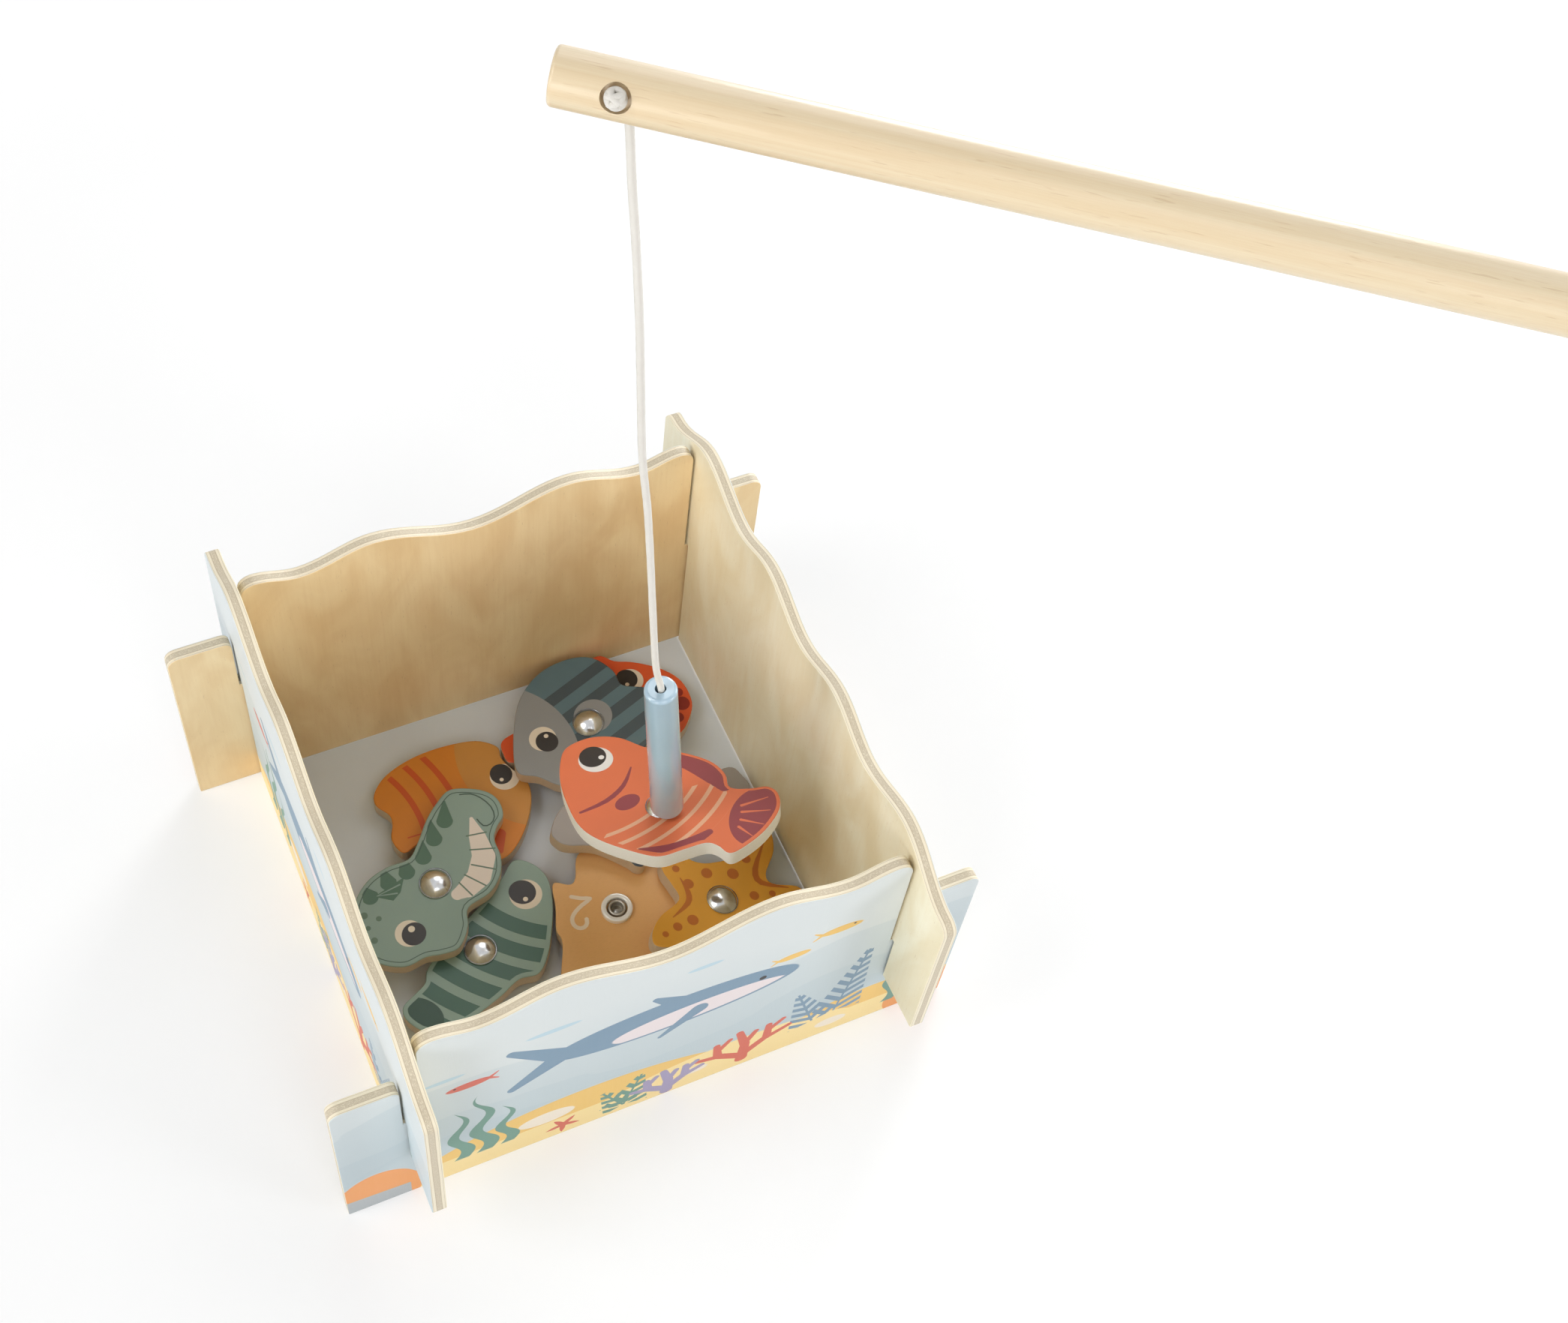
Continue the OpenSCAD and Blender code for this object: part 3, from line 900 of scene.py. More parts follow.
@dataclass(frozen=True)
class Fern:
    """Printed sprig with rows of leaflets, in millimetres."""

    foot: Flat
    tip: Flat
    reach: float
    pitch: float = 4.0

    def mask(self, spot: Spot) -> Value:
        """Where the sprig is, from 0 to 1.

        Args:
            spot: The shaded point in the print's frame.

        Returns:
            The mask.
        """
        graph = spot.graph
        along = Vector(self.tip) - Vector(self.foot)
        way = along.normalized()
        run = graph.dot(spot.flat, (*way, 0)) - way.dot(Vector(self.foot))
        side = abs(graph.dot(spot.flat, (-way.y, way.x, 0)) - Vector((-way.y, way.x)).dot(Vector(self.foot)))
        leaf = abs((run - side * 0.8).wrap(self.pitch) - self.pitch / 2)
        leaf = (leaf - self.pitch * 0.27).most(side - (1.15 - run / along.length) * self.reach)
        gap = leaf.least(side - 0.45).most(-run).most(run - along.length)
        return gap.below(0.0, PRINT_SOFT)


@dataclass(frozen=True)
class Star:
    """Printed star with five soft arms, in millimetres."""

    at: Flat
    radius: float
    turn: float = 0.0

    def mask(self, spot: Spot) -> Value:
        """Where the star is, from 0 to 1.

        Args:
            spot: The shaded point in the print's frame.

        Returns:
            The mask.
        """
        graph = spot.graph
        angle = graph.math("ARCTAN2", spot.y - self.at[1], spot.x - self.at[0]) + self.turn
        arm = 1 - abs(angle.wrap(math.tau / 5) - math.pi / 5) * (5 / math.pi)
        edge = (1 - arm) ** 1.8 * (self.radius * 0.7) + self.radius * 0.3
        return (graph.distance(spot.flat, (*self.at, 0)) - edge).below(0.0, PRINT_SOFT)


Shape = Disc | Stroke | Arcs | Patch | Blade | Fern | Star


@dataclass(frozen=True)
class Ink:
    """One colour of a print, in all its shapes."""

    colour: Colour
    shapes: tuple[Shape, ...]
    within: tuple[Shape, ...] = ()
    margin: float = 0.0
    contour: float = 0.0

    def lay(self, under: Tint, spot: Spot, depth: Value | None = None) -> Tint:
        """Prints the shapes over a colour.

        Args:
            under: Colour so far.
            spot: The shaded point in the print's frame.
            depth: Distance in from the piece's edge, in millimetres.

        Returns:
            The colour with the ink on it.
        """
        mask = reduce(Value.most, [shape.mask(spot) for shape in self.shapes])
        for shape in self.within:
            mask = mask.least(shape.mask(spot))
        if self.contour:
            mask = mask.most(abs(depth - self.contour).below(CONTOUR_HALF, CONTOUR_SOFT))
        if self.margin:
            mask = mask.least(depth.step(self.margin, PRINT_SOFT))
        return under.over(self.colour, mask)


def dots(*spots: Point) -> tuple[Disc, ...]:
    """Round dots, by the X, Y and radius of each."""
    return tuple(Disc((x, y), (radius, radius)) for x, y, radius in spots)


def strokes(radii: tuple[float, ...], *ends: tuple[float, float, float, float]) -> tuple[Stroke, ...]:
    """Straight strokes, by the X and Y of both ends, thick at the start and at the end as radii say."""
    return tuple(Stroke(((x0, y0), (x1, y1)), radii) for x0, y0, x1, y1 in ends)


@dataclass(frozen=True)
class Eye:
    """Printed round eye with a dark pupil and a small light in it."""

    at: Flat
    radius: float
    pupil_at: Flat
    pupil: float
    light_at: Flat
    light: float
    white: Colour = EYE_WHITE

    def inks(self) -> tuple[Ink, ...]:
        """The eye's three inks.

        Returns:
            The inks, from the bottom up.
        """
        return (
            Ink(self.white, dots((*self.at, self.radius))),
            Ink(EYE_DARK, (Disc(self.pupil_at, (self.pupil, self.pupil * 1.06)),)),
            Ink(self.white, dots((*self.light_at, self.light))),
        )


@dataclass(frozen=True)
class BirchFinish:
    """Birch plywood panel: veneered faces, layered edges, and a print on the outer face."""

    name: str
    place: Place
    thickness: float
    inks: tuple[Ink, ...]
    veneer: Colour
    streak: Colour
    cream: Colour = rgb(244, 234, 210)
    core: Colour = rgb(204, 190, 164)
    glue: Colour = rgb(170, 150, 122)
    fleck: Colour = rgb(236, 226, 204)
    pore: Colour = rgb(182, 146, 100)
    face_in: float = 0.3
    face_soft: float = 0.06
    sky: Colour = rgb(220, 226, 226)
    water: Colour = rgb(184, 200, 206)

    def build(self) -> bpy.types.Material:
        """Makes the material.

        Returns:
            The material.
        """
        graph = Graph.material(self.name)
        spot = self.place.local(graph)
        half = self.thickness / 2
        figure = spot.grain(0.045, 0.018, 0.04, 3.0, 0.5, 1.1)
        grain = spot.grain(0.7, 0.03, 0.7, 5.0, 0.62, 0.3)
        pores = spot.grain(3.0, 0.3, 3.0, 2.0)
        face = Tint(graph, self.veneer).over(self.streak, figure.step(0.5, 0.2) * 0.6)
        face = face.over(self.streak, grain.step(0.58, 0.2) * 0.2)
        face = face.over(self.pore, pores.step(0.72, 0.03) * 0.3)
        edge = self.edge(graph, spot, half)
        outer = self.outer(graph, spot)
        edge_in = half - self.face_in
        colour = edge.over(face, spot.z.below(-edge_in, self.face_soft))
        colour = colour.over(outer, spot.z.step(edge_in, self.face_soft))
        height = grain * 0.5 + pores * 0.5
        return graph.finish(Base_Color=colour, Roughness=grain * 0.12 + 0.42,
                            Normal=graph.bump(height, 0.00005, 0.6))

    def edge(self, graph: Graph, spot: Spot, half: float) -> Tint:
        """Layers of the plywood as its edge shows them.

        Args:
            graph: The material's graph.
            spot: The shaded point in the panel's frame.
            half: Half the thickness.

        Returns:
            The edge's colour.
        """
        speckle = spot.grain(1.6, 1.6, 5.0, 3.0, 0.7)
        run = spot.grain(0.05, 0.05, 3.0, 2.0)
        depth = abs(spot.z + (run - 0.5) * 0.35)
        colour = Tint(graph, self.cream).over(self.streak, speckle.step(0.55, 0.12) * 0.35)
        colour = colour.over(self.core, depth.below(0.9, 0.12))
        colour = colour.over(self.fleck, depth.below(0.9, 0.1) * speckle.step(0.56, 0.06) * 0.8)
        colour = colour.over(self.glue, (1 - abs(depth - 0.95).step(0.1, 0.06)) * 0.7)
        return colour.over(self.glue, (1 - abs(depth - (half - 0.55)).step(0.07, 0.05)) * 0.55)

    def outer(self, graph: Graph, spot: Spot) -> Tint:
        """The printed outer face.

        Args:
            graph: The material's graph.
            spot: The shaded point in the panel's frame.

        Returns:
            The print's colour.
        """
        cloud = spot.grain(0.02, 0.045, 0.0, 2.0)
        wave = (spot.x * 0.045 + cloud * 3.0).sin() * 6.0
        colour = Tint(graph, self.sky).over(self.water, (95 - spot.y + wave) / 120)
        for level, share in ((72, 0.3), (46, 0.35), (30, 0.4)):
            colour = colour.over(self.water, (spot.y + wave * 1.4).below(float(level), 0.5) * share)
        for ink in self.inks:
            colour = ink.lay(colour, spot)
        return colour


@dataclass(frozen=True)
class PieceFinish:
    """Flat wooden game piece: printed face, sawn side and plain back."""

    name: str
    place: Place
    margin: float
    base: Colour
    inks: tuple[Ink, ...]
    side: Colour
    sawn: Colour
    back: Colour
    back_inks: tuple[Ink, ...]
    back_grain: Colour = rgb(190, 140, 84)
    face_in: float = 0.28
    face_soft: float = 0.05

    def build(self) -> bpy.types.Material:
        """Makes the material.

        Returns:
            The material.
        """
        graph = Graph.material(self.name)
        spot = self.place.local(graph)
        depth = Value(graph, graph.node("ShaderNodeAttribute", {"attribute_name": FIELD}, {}, output="Fac"))
        depth = depth * self.margin
        tone = spot.grain(0.12, 0.12, 0.12, 3.0)
        fibre = spot.grain(0.5, 6.0, 6.0, 3.0, 0.6)
        printed = Tint(graph, self.base)
        for ink in self.inks:
            printed = ink.lay(printed, spot, depth)
        printed = printed.times(tone * 0.08 + 0.96)
        side = Tint(graph, self.side).over(self.sawn, fibre.step(0.56, 0.15) * 0.35)
        back = Tint(graph, self.back).over(self.back_grain, fibre.step(0.6, 0.12) * 0.2)
        for ink in self.back_inks:
            back = ink.lay(back, spot)
        colour = side.over(printed, spot.z.step(PIECE_T - self.face_in, self.face_soft))
        colour = colour.over(back, spot.z.below(self.face_in, self.face_soft))
        return graph.finish(Base_Color=colour, Roughness=tone * 0.1 + 0.42,
                            Normal=graph.bump(fibre, 0.00004, 0.35))


@dataclass(frozen=True)
class MetalFinish:
    """Bright or dull metal with fine marks."""

    name: str
    tint: Colour
    dull: Colour
    rough: float
    marks: float
    depth: float = 0.01 * MM

    def build(self) -> bpy.types.Material:
        """Makes the material.

        Returns:
            The material.
        """
        graph = Graph.material(self.name)
        spot = PART.local(graph)
        cloud = spot.grain(0.4, 0.4, 0.4, 3.0)
        scratch = spot.grain(1.5, 9.0, 1.5, 4.0, 0.7)
        colour = Tint(graph, self.tint).over(self.dull, cloud.step(0.55, 0.2) * 0.5)
        rough = scratch * self.marks + self.rough
        return graph.finish(Base_Color=colour, Metallic=1.0, Roughness=rough,
                            Normal=graph.bump(scratch, self.depth, 0.3))


@dataclass(frozen=True)
class GlossFinish:
    """Glossy plastic or lacquer."""

    name: str
    tint: Colour
    shade: Colour
    rough: float = 0.16
    coat: float = 0.6
    coat_ior: float = 1.5

    def build(self) -> bpy.types.Material:
        """Makes the material.

        Returns:
            The material.
        """
        graph = Graph.material(self.name)
        spot = PART.local(graph)
        cloud = spot.grain(0.15, 0.15, 0.06, 3.0)
        ripple = spot.grain(0.5, 0.5, 0.3, 2.0)
        colour = Tint(graph, self.tint).over(self.shade, cloud.step(0.5, 0.25) * 0.4)
        return graph.finish(Base_Color=colour, Roughness=ripple * 0.1 + self.rough,
                            Coat_Weight=self.coat, Coat_Roughness=0.06, Coat_IOR=self.coat_ior,
                            Normal=graph.bump(ripple, 0.00003, 0.3))


@dataclass(frozen=True)
class RodFinish:
    """Pale turned wood under clear lacquer, with its grain along the rod."""

    place: Place
    pale: Colour = rgb(234, 217, 184)
    warm: Colour = rgb(221, 193, 150)
    dark: Colour = rgb(190, 152, 106)

    def build(self) -> bpy.types.Material:
        """Makes the material.

        Returns:
            The material.
        """
        graph = Graph.material("rod_wood")
        spot = self.place.local(graph)
        bands = spot.grain(0.006, 0.28, 0.28, 3.0, 0.5, 0.4)
        fibre = spot.grain(0.05, 3.0, 3.0, 4.0, 0.65)
        flecks = spot.grain(0.12, 1.8, 1.8, 2.0)
        colour = Tint(graph, self.pale).over(self.warm, bands.step(0.5, 0.22) * 0.6)
        colour = colour.over(self.warm, fibre.step(0.54, 0.2) * 0.35)
        colour = colour.over(self.dark, flecks.step(0.68, 0.05) * 0.3)
        return graph.finish(Base_Color=colour, Roughness=fibre * 0.15 + 0.3, Coat_Weight=0.35,
                            Coat_Roughness=0.25, Normal=graph.bump(fibre, 0.00006, 0.5))


@dataclass(frozen=True)
class CottonFinish:
    """Braided off-white cotton, on a tube with the UV map of tube_mesh."""

    light: Colour = rgb(236, 233, 226)
    dark: Colour = rgb(205, 198, 186)

    def build(self) -> bpy.types.Material:
        """Makes the material.

        Returns:
            The material.
        """
        graph = Graph.material("cotton_line")
        uv = Spot(graph, graph.node("ShaderNodeUVMap", {"uv_map": "along"}, {}))
        fibre = uv.grain(9000.0, 60.0, 1.0, 3.0)
        spot = PART.local(graph)
        soil = graph.noise(spot.vector, 0.35)
        colour = Tint(graph, self.light).over(self.dark, fibre.step(0.52, 0.2) * 0.5 + soil * 0.2)
        return graph.finish(Base_Color=colour, Roughness=0.85, Sheen_Weight=0.25, Sheen_Roughness=0.5,
                            Normal=graph.bump(fibre, 0.00006))


@dataclass(frozen=True)
class Line:
    """The braided line from the knot in the rod to the knot in the holder."""

    diameter: float = 2.2 * MM
    strands: int = 4
    lay: float = 7 * MM
    groove: float = 0.11
    sides: int = 24
    steps: int = 30
    route: tuple[Point, ...] = (
        (2, -15, 388.5), (4.5, -11.5, 386.5), (7, -7.5, 384), (8.5, -5.5, 380.5), (9, -5, 375),
        (9.5, -5.5, 369), (10.5, -6.5, 351), (11.5, -7.5, 336.5), (13, -9, 311), (14, -10, 288.5),
        (15, -12, 259), (17, -13.5, 236), (18.5, -15, 212), (20, -16.5, 185.5), (21.5, -18, 161.5),
        (23.5, -19, 149), (24.5, -19, 137),
    )

    def points(self) -> list[Vector]:
        """Points of the route in metres, in the part's frame."""
        return [Vector((x * MM, y * MM + POND_MIDDLE_Y, z * MM)) for x, y, z in self.route]

    def radius(self, run: float, angle: float) -> float:
        """Radius of the braid: strands that wind both ways and cross.

        Args:
            run: Distance along the line.
            angle: Angle round it.

        Returns:
            The radius.
        """
        twist = math.tau * run / self.lay
        one = math.sin(self.strands * angle + self.strands * twist)
        other = math.sin(self.strands * angle - self.strands * twist)
        return self.diameter / 2 * (1 - self.groove * (1 - max(one, other)) / 2)

    def build(self, finish: bpy.types.Material) -> bpy.types.Object:
        """Args:
            finish: Its material.

        Returns:
            The line.
        """
        points = self.points()
        path = smooth_route(points, self.steps)
        line = tube_mesh("braided_line", path, self.radius, self.sides)
        stand_for(line, "line", finish)
        return line


@dataclass(frozen=True)
class Knot:
    """Knot of wound line, small enough for its hole."""

    name: str
    node: str
    strand: float = 1.5 * MM
    turns: int = 5
    swings: int = 3
    steps: int = 260
    sides: int = 10
    swing: float = 0.62 * math.pi / 2

    def build(self, finish: bpy.types.Material) -> bpy.types.Object:
        """Winds the knot inside the box of its CAD node.

        Args:
            finish: The line's material.

        Returns:
            The knot.
        """
        low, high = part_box(self.node)
        middle = (low + high) / 2
        reach = min(high - low) / 2 - self.strand / 2
        path = []
        for i in range(self.steps):
            share = math.tau * i / self.steps
            tilt = self.swing * math.sin(self.swings * share)
            turn = self.turns * share
            ray = Vector((math.cos(tilt) * math.cos(turn), math.cos(tilt) * math.sin(turn), math.sin(tilt)))
            path.append(middle + reach * ray)
        knot = tube_mesh(self.name, path, lambda run, angle: self.strand / 2, self.sides, closed=True)
        stand_for(knot, self.node, finish)
        return knot


@dataclass(frozen=True)
class Pond:
    """Four slotted plywood panels, printed outside and bare inside."""

    ply: float = 5
    side_x: float = 84.5
    rim: float = 0.45 * MM
    sharp: float = 45
    smooth: float = 40

    def sides(self) -> dict[str, tuple[Place, int, float]]:
        """Frame of each panel, seen from outside, and the way and shift of its print.

        Returns:
            Frame, way and shift by the panel's name.
        """
        middle = POND_MIDDLE_Y / MM
        return {
            "front": (panel_place((0, 0), 0), 1, 0),
            "right": (panel_place((self.side_x, middle), 90), -1, 12),
            "back": (panel_place((0, 2 * middle), 180), -1, -8),
            "left": (panel_place((-self.side_x, middle), -90), 1, 8),
        }

    def build(self) -> list[bpy.types.Object]:
        """Models and dresses the panels.

        Returns:
            The panels.
        """
        panels = []
        for side, (place, way, shift) in self.sides().items():
            node = f"panel_{side}"
            panel = copy_of(node, f"birch_{node}")
            sand(panel, self.rim, self.sharp, 2)
            shade(panel, self.smooth)
            # The back panel takes the veneer with painted warm shade.
            veneer = PAINTED_SHADE_VENEER if side == "back" else PALE_VENEER
            finish = BirchFinish(f"birch_{side}", place, self.ply, sea_print(way, shift), *veneer).build()
            stand_for(panel, node, finish)
            panels.append(panel)
        return panels


def panel_place(at: Flat, turn: float) -> Place:
    """Frame of an upright panel, by its middle on the table and the turn of its outer face."""
    upright = Euler((math.pi / 2, 0, 0)).to_matrix()
    return Place(Vector((at[0], at[1], 0)) * MM, Matrix.Rotation(math.radians(turn), 3, "Z") @ upright)


def coral(x: float, size: float, colour: Colour, low: float = 6) -> Ink:
    """Branching coral.

    Args:
        x: Middle of its foot.
        size: Its height.
        colour: Its colour.
        low: Height of its foot.

    Returns:
        The ink.
    """
    def at(across: float, up: float) -> Flat:
        """Point of the coral."""
        return x + across * size, low + up * size

    return Ink(colour, (
        Stroke((at(0, 0), at(0.02, 0.5), at(-0.1, 1.0)), (2.4, 1.9, 1.4)),
        Stroke((at(0.02, 0.15), at(0.36, 0.48), at(0.36, 0.9)), (2.0, 1.8, 1.3)),
        Stroke((at(-0.02, 0.12), at(-0.4, 0.42), at(-0.44, 0.82)), (2.0, 1.8, 1.3)),
        Stroke((at(0.3, 0.42), at(0.7, 0.62)), (1.6, 1.2)),
        Stroke((at(-0.33, 0.38), at(-0.72, 0.5)), (1.6, 1.2)),
        Stroke((at(0.02, 0.55), at(0.16, 0.86)), (1.4, 1.2)),
        Stroke((at(0.36, 0.7), at(0.58, 0.94)), (1.4, 1.1)),
        Stroke((at(-0.42, 0.6), at(-0.24, 0.88)), (1.4, 1.1)),
    ))


def swimmer(at: Flat, long: float, plump: float, colour: Colour, way: int = 1) -> Ink:
    """Plain fish seen from the side.

    Args:
        at: Middle of its body.
        long: Length of its body.
        plump: Height of its body against its length.
        colour: Its colour.
        way: 1 when it swims to the right, -1 to the left.

    Returns:
        The ink.
    """
    x, y = at
    tail = x - way * long * 0.45
    fork = long * 0.2
    return Ink(colour, (
        Disc(at, (long * 0.5, long * plump / 2)),
        Stroke(((tail - way * fork, y + fork * 0.9), (tail, y), (tail - way * fork, y - fork * 0.8)),
               (long * 0.02, long * 0.055, long * 0.02)),
    ))


def sea_print(way: int, shift: float) -> tuple[Ink, ...]:
    """Sea-bed print of one panel: sand, weed, coral and plain fish.

    Args:
        way: 1 when the big fish swims to the right, -1 to the left.
        shift: How far the plants stand from their places on the front panel.

    Returns:
        Its inks.
    """
    big = (way * 4, 70)
    return (
        Ink(DUNE, (Disc((-26 + shift, 0), (66, 33)), Disc((80, 0), (44, 28)))),
        Ink(SAND, (Patch(((-115, -5), (115, -5), (115, 15), (-115, 15))), Disc((28, 4), (52, 21)))),
        Ink(ROCK, (Disc((-99, 8), (15, 20)), Disc((102, 6), (15, 15)))),
        Ink(PEBBLE, (
            Disc((-40 + shift, 20), (10, 4.5)), Disc((14, 12), (5, 2.4)), Disc((66, 9), (6, 3)),
        )),
        Ink(STONE, (Patch(((-115, -5), (-88, -5), (-88, 9), (-115, 11))),)),
        Ink(SEA_GREEN, (
            Blade((-70 + shift, 12), 42, 2.6, 2.4), Blade((-62 + shift, 12), 50, 2.8, 2.6, 1.9),
            Blade((-54 + shift, 12), 34, 2.4, 2.2), Blade((88, 8), 36, 2.4, 2.0),
            Fern((-12 + shift, 5), (-6 + shift, 27), 8, 5.5),
            Fern((-12 + shift, 5), (-20 + shift, 22), 7, 5.5),
        )),
        Ink(SLATE, (Fern((66, 18), (74, 62), 9, 5.6), Fern((58, 16), (50, 44), 8, 5.6))),
        coral(32 + shift * 0.4, 24, BRICK),
        coral(4, 18, LILAC, 3),
        Ink(BRICK, (Star((-34 + shift, 8), 6.5, 0.4),)),
        Ink(WAVE, (Disc((-38, 92), (9, 1.4)), Disc((12, 98), (6, 1.2)), Disc((-74, 84), (7, 1.2)))),
        swimmer(big, 86, 0.25, SLATE, way),
        Ink(SLATE, (Stroke(((big[0] + way * 4, 74), (big[0] - way * 8, 86)), (5.0, 1.2)),)),
        Ink(BELLY, (Disc((big[0] + way * 9, 64.5), (31, 7)),), (Disc((big[0] - way, 70), (41.5, 9.6)),)),
        Ink(SLATE, (Stroke(((big[0] + way * 8, 66), (big[0] - way * 5, 54)), (3.2, 0.9)),)),
        swimmer((-66 + shift, 74), 15, 0.3, BRICK, -way),
        swimmer((60, 88), 15, 0.3, AMBER, way),
        swimmer((44, 80), 12, 0.32, AMBER, way),
        Ink(EYE_DARK, dots(
            (big[0] + way * 30, 71.5, 1.3), (-66 + shift - way * 4.6, 74.6, 0.5),
            (60 + way * 4.6, 88.6, 0.5))),
    )


@dataclass(frozen=True)
class Heap:
    """How the game pieces lie on the table and on each other, in millimetres."""

    ring_t: float = 2
    piece_t: float = 6
    cap_h: float = 3.2
    cap_d: float = 11
    ring_d: float = 11.4
    gap: float = 0.25
    yellow_at: Flat = (-25, 39)
    seahorse_at: Flat = (-44.5, 9)
    seahorse_low_y: float = -17
    long_at: Flat = (-37.5, -18)
    grey_at: Flat = (31, 50.5)
    crab_at: Flat = (48, 57.5)
    ray_at: Flat = (36.5, 5)
    ray_lean: float = 6
    ray_rest_x: float = 33.5
    turned_at: Flat = (13, -21.5)
    star_at: Flat = (47.5, -33.5)
    star_high_x: float = 35.5
    star_low_x: float = 78
    holder_foot: Point = (29, -20.9, 74.4)
    holder_lean: Flat = (-1.6, -4.3)
    catch_at: Flat = (-1, 1.5)
    catch_gap: float = 0.05
    catch_lean: Flat = (-14.5, 4.5)
    catch_turn: float = -22

    def laid(self, at: Flat, z: float, lean: Flat = (0, 0), turn: float = 0) -> Place:
        """Frame of a piece in the heap, by its back's height, its lean and its turn in degrees."""
        rotation = turned(lean[0], lean[1]) @ turned(0, 0, turn)
        return Place(Vector((at[0], at[1] + POND_MIDDLE_Y / MM, z)) * MM, rotation)

    def places(self) -> dict[str, Place]:
        """Frame of each piece.

        Returns:
            The frames by the pieces' names.
        """
        flat_top = self.ring_t + self.piece_t + self.gap
        on_ring = flat_top + self.ring_t
        on_turned = self.cap_h + self.piece_t + self.gap
        sea_slope = self.cap_h / (self.yellow_at[1] - self.seahorse_low_y)
        grey_slope = (self.cap_h - self.ring_t) / (self.crab_at[0] - self.grey_at[0] + self.ring_d / 2)
        star_slope = (on_turned - self.gap) / (self.star_low_x - self.star_high_x)
        ray_z = on_turned - math.tan(math.radians(self.ray_lean)) * (self.ray_at[0] - self.ray_rest_x)
        sea_z = flat_top + sea_slope * (self.seahorse_at[1] - self.seahorse_low_y)
        star_z = self.gap + star_slope * (self.star_low_x - self.star_at[0])
        return {
            "yellow_fish": self.laid(self.yellow_at, self.ring_t, turn=12),
            "seahorse": self.laid(self.seahorse_at, sea_z, (math.degrees(math.atan(sea_slope)), 0), -55),
            "long_fish": self.laid(self.long_at, self.ring_t, turn=45),
            "grey_fish": self.laid(self.grey_at, on_ring + grey_slope * self.ring_d / 2,
                                   (0, -math.degrees(math.atan(grey_slope))), 22),
            "crab": self.laid(self.crab_at, self.ring_t, turn=12),
            "ray": self.laid(self.ray_at, ray_z, (0, self.ray_lean), 20),
            "turned_piece": self.laid(self.turned_at, self.cap_h + self.piece_t, (180, 0)),
            "starfish": self.laid(self.star_at, star_z, (0, math.degrees(math.atan(star_slope)))),
            "caught_fish": self.caught(),
        }

    def caught(self) -> Place:
        """Frame of the fish that hangs with its cap on the magnet.

        Returns:
            The frame.
        """
        cap_r = (self.cap_h ** 2 + (self.cap_d / 2) ** 2) / (2 * self.cap_h)
        foot = Vector(self.holder_foot) + Vector((0, POND_MIDDLE_Y / MM, 0))
        rotation = turned(*self.holder_lean)
        at = foot + rotation @ Vector((*self.catch_at, -self.catch_gap - cap_r))
        rotation = rotation @ turned(*self.catch_lean) @ turned(0, 0, self.catch_turn)
        at += rotation @ Vector((0, 0, cap_r - self.cap_h - self.piece_t))
        return Place(at * MM, rotation)


def turned(x: float, y: float, z: float = 0.0) -> Matrix:
    """Rotation about X, then Y, then Z, in degrees."""
    return Euler((math.radians(x), math.radians(y), math.radians(z))).to_matrix()


@dataclass(frozen=True)
class Fittings:
    """Domed steel cap on a game piece's face and the eyelet of its rivet, in millimetres."""

    cap_r: float = 5.9
    cap_h: float = 3.2
    lip: float = 0.3
    rivet_r: float = 3.2
    roll: float = 0.5
    foot: float = -1.7
    cup: float = 3.0

    def dome(self) -> list[Flat]:
        """Outline of the cap, from its top down to its closed foot.

        Returns:
            Radius and height of each point.
        """
        half = self.cap_r - self.lip * 0.6
        rise = self.cap_h - self.lip
        radius = (half ** 2 + rise ** 2) / (2 * rise)
        steep = math.degrees(math.asin(half / radius))
        top = PIECE_T + self.cap_h
        outline = [(0.0, top)] + arc((0, top - radius), radius, 90, 90 - steep, 14)[1:]
        rolled = arc((self.cap_r - self.lip, PIECE_T + self.lip), self.lip, 60, -90, 6)
        return outline + rolled + [(0.0, PIECE_T)]

    def eyelet(self) -> list[Flat]:
        """Outline of the rivet, with a rolled lip round a cup at its foot.

        Returns:
            Radius and height of each point.
        """
        lip = arc((self.rivet_r - self.roll, self.foot + self.roll), self.roll, 0, -180, 10)
        bore = self.rivet_r - 2 * self.roll
        floor = self.foot + self.cup
        boss = [(bore, floor), (bore * 0.7, floor - 0.15), (bore * 0.35, floor - 0.6), (0.0, floor - 0.75)]
        return [(0.0, PIECE_T), (self.rivet_r, PIECE_T)] + lip + boss


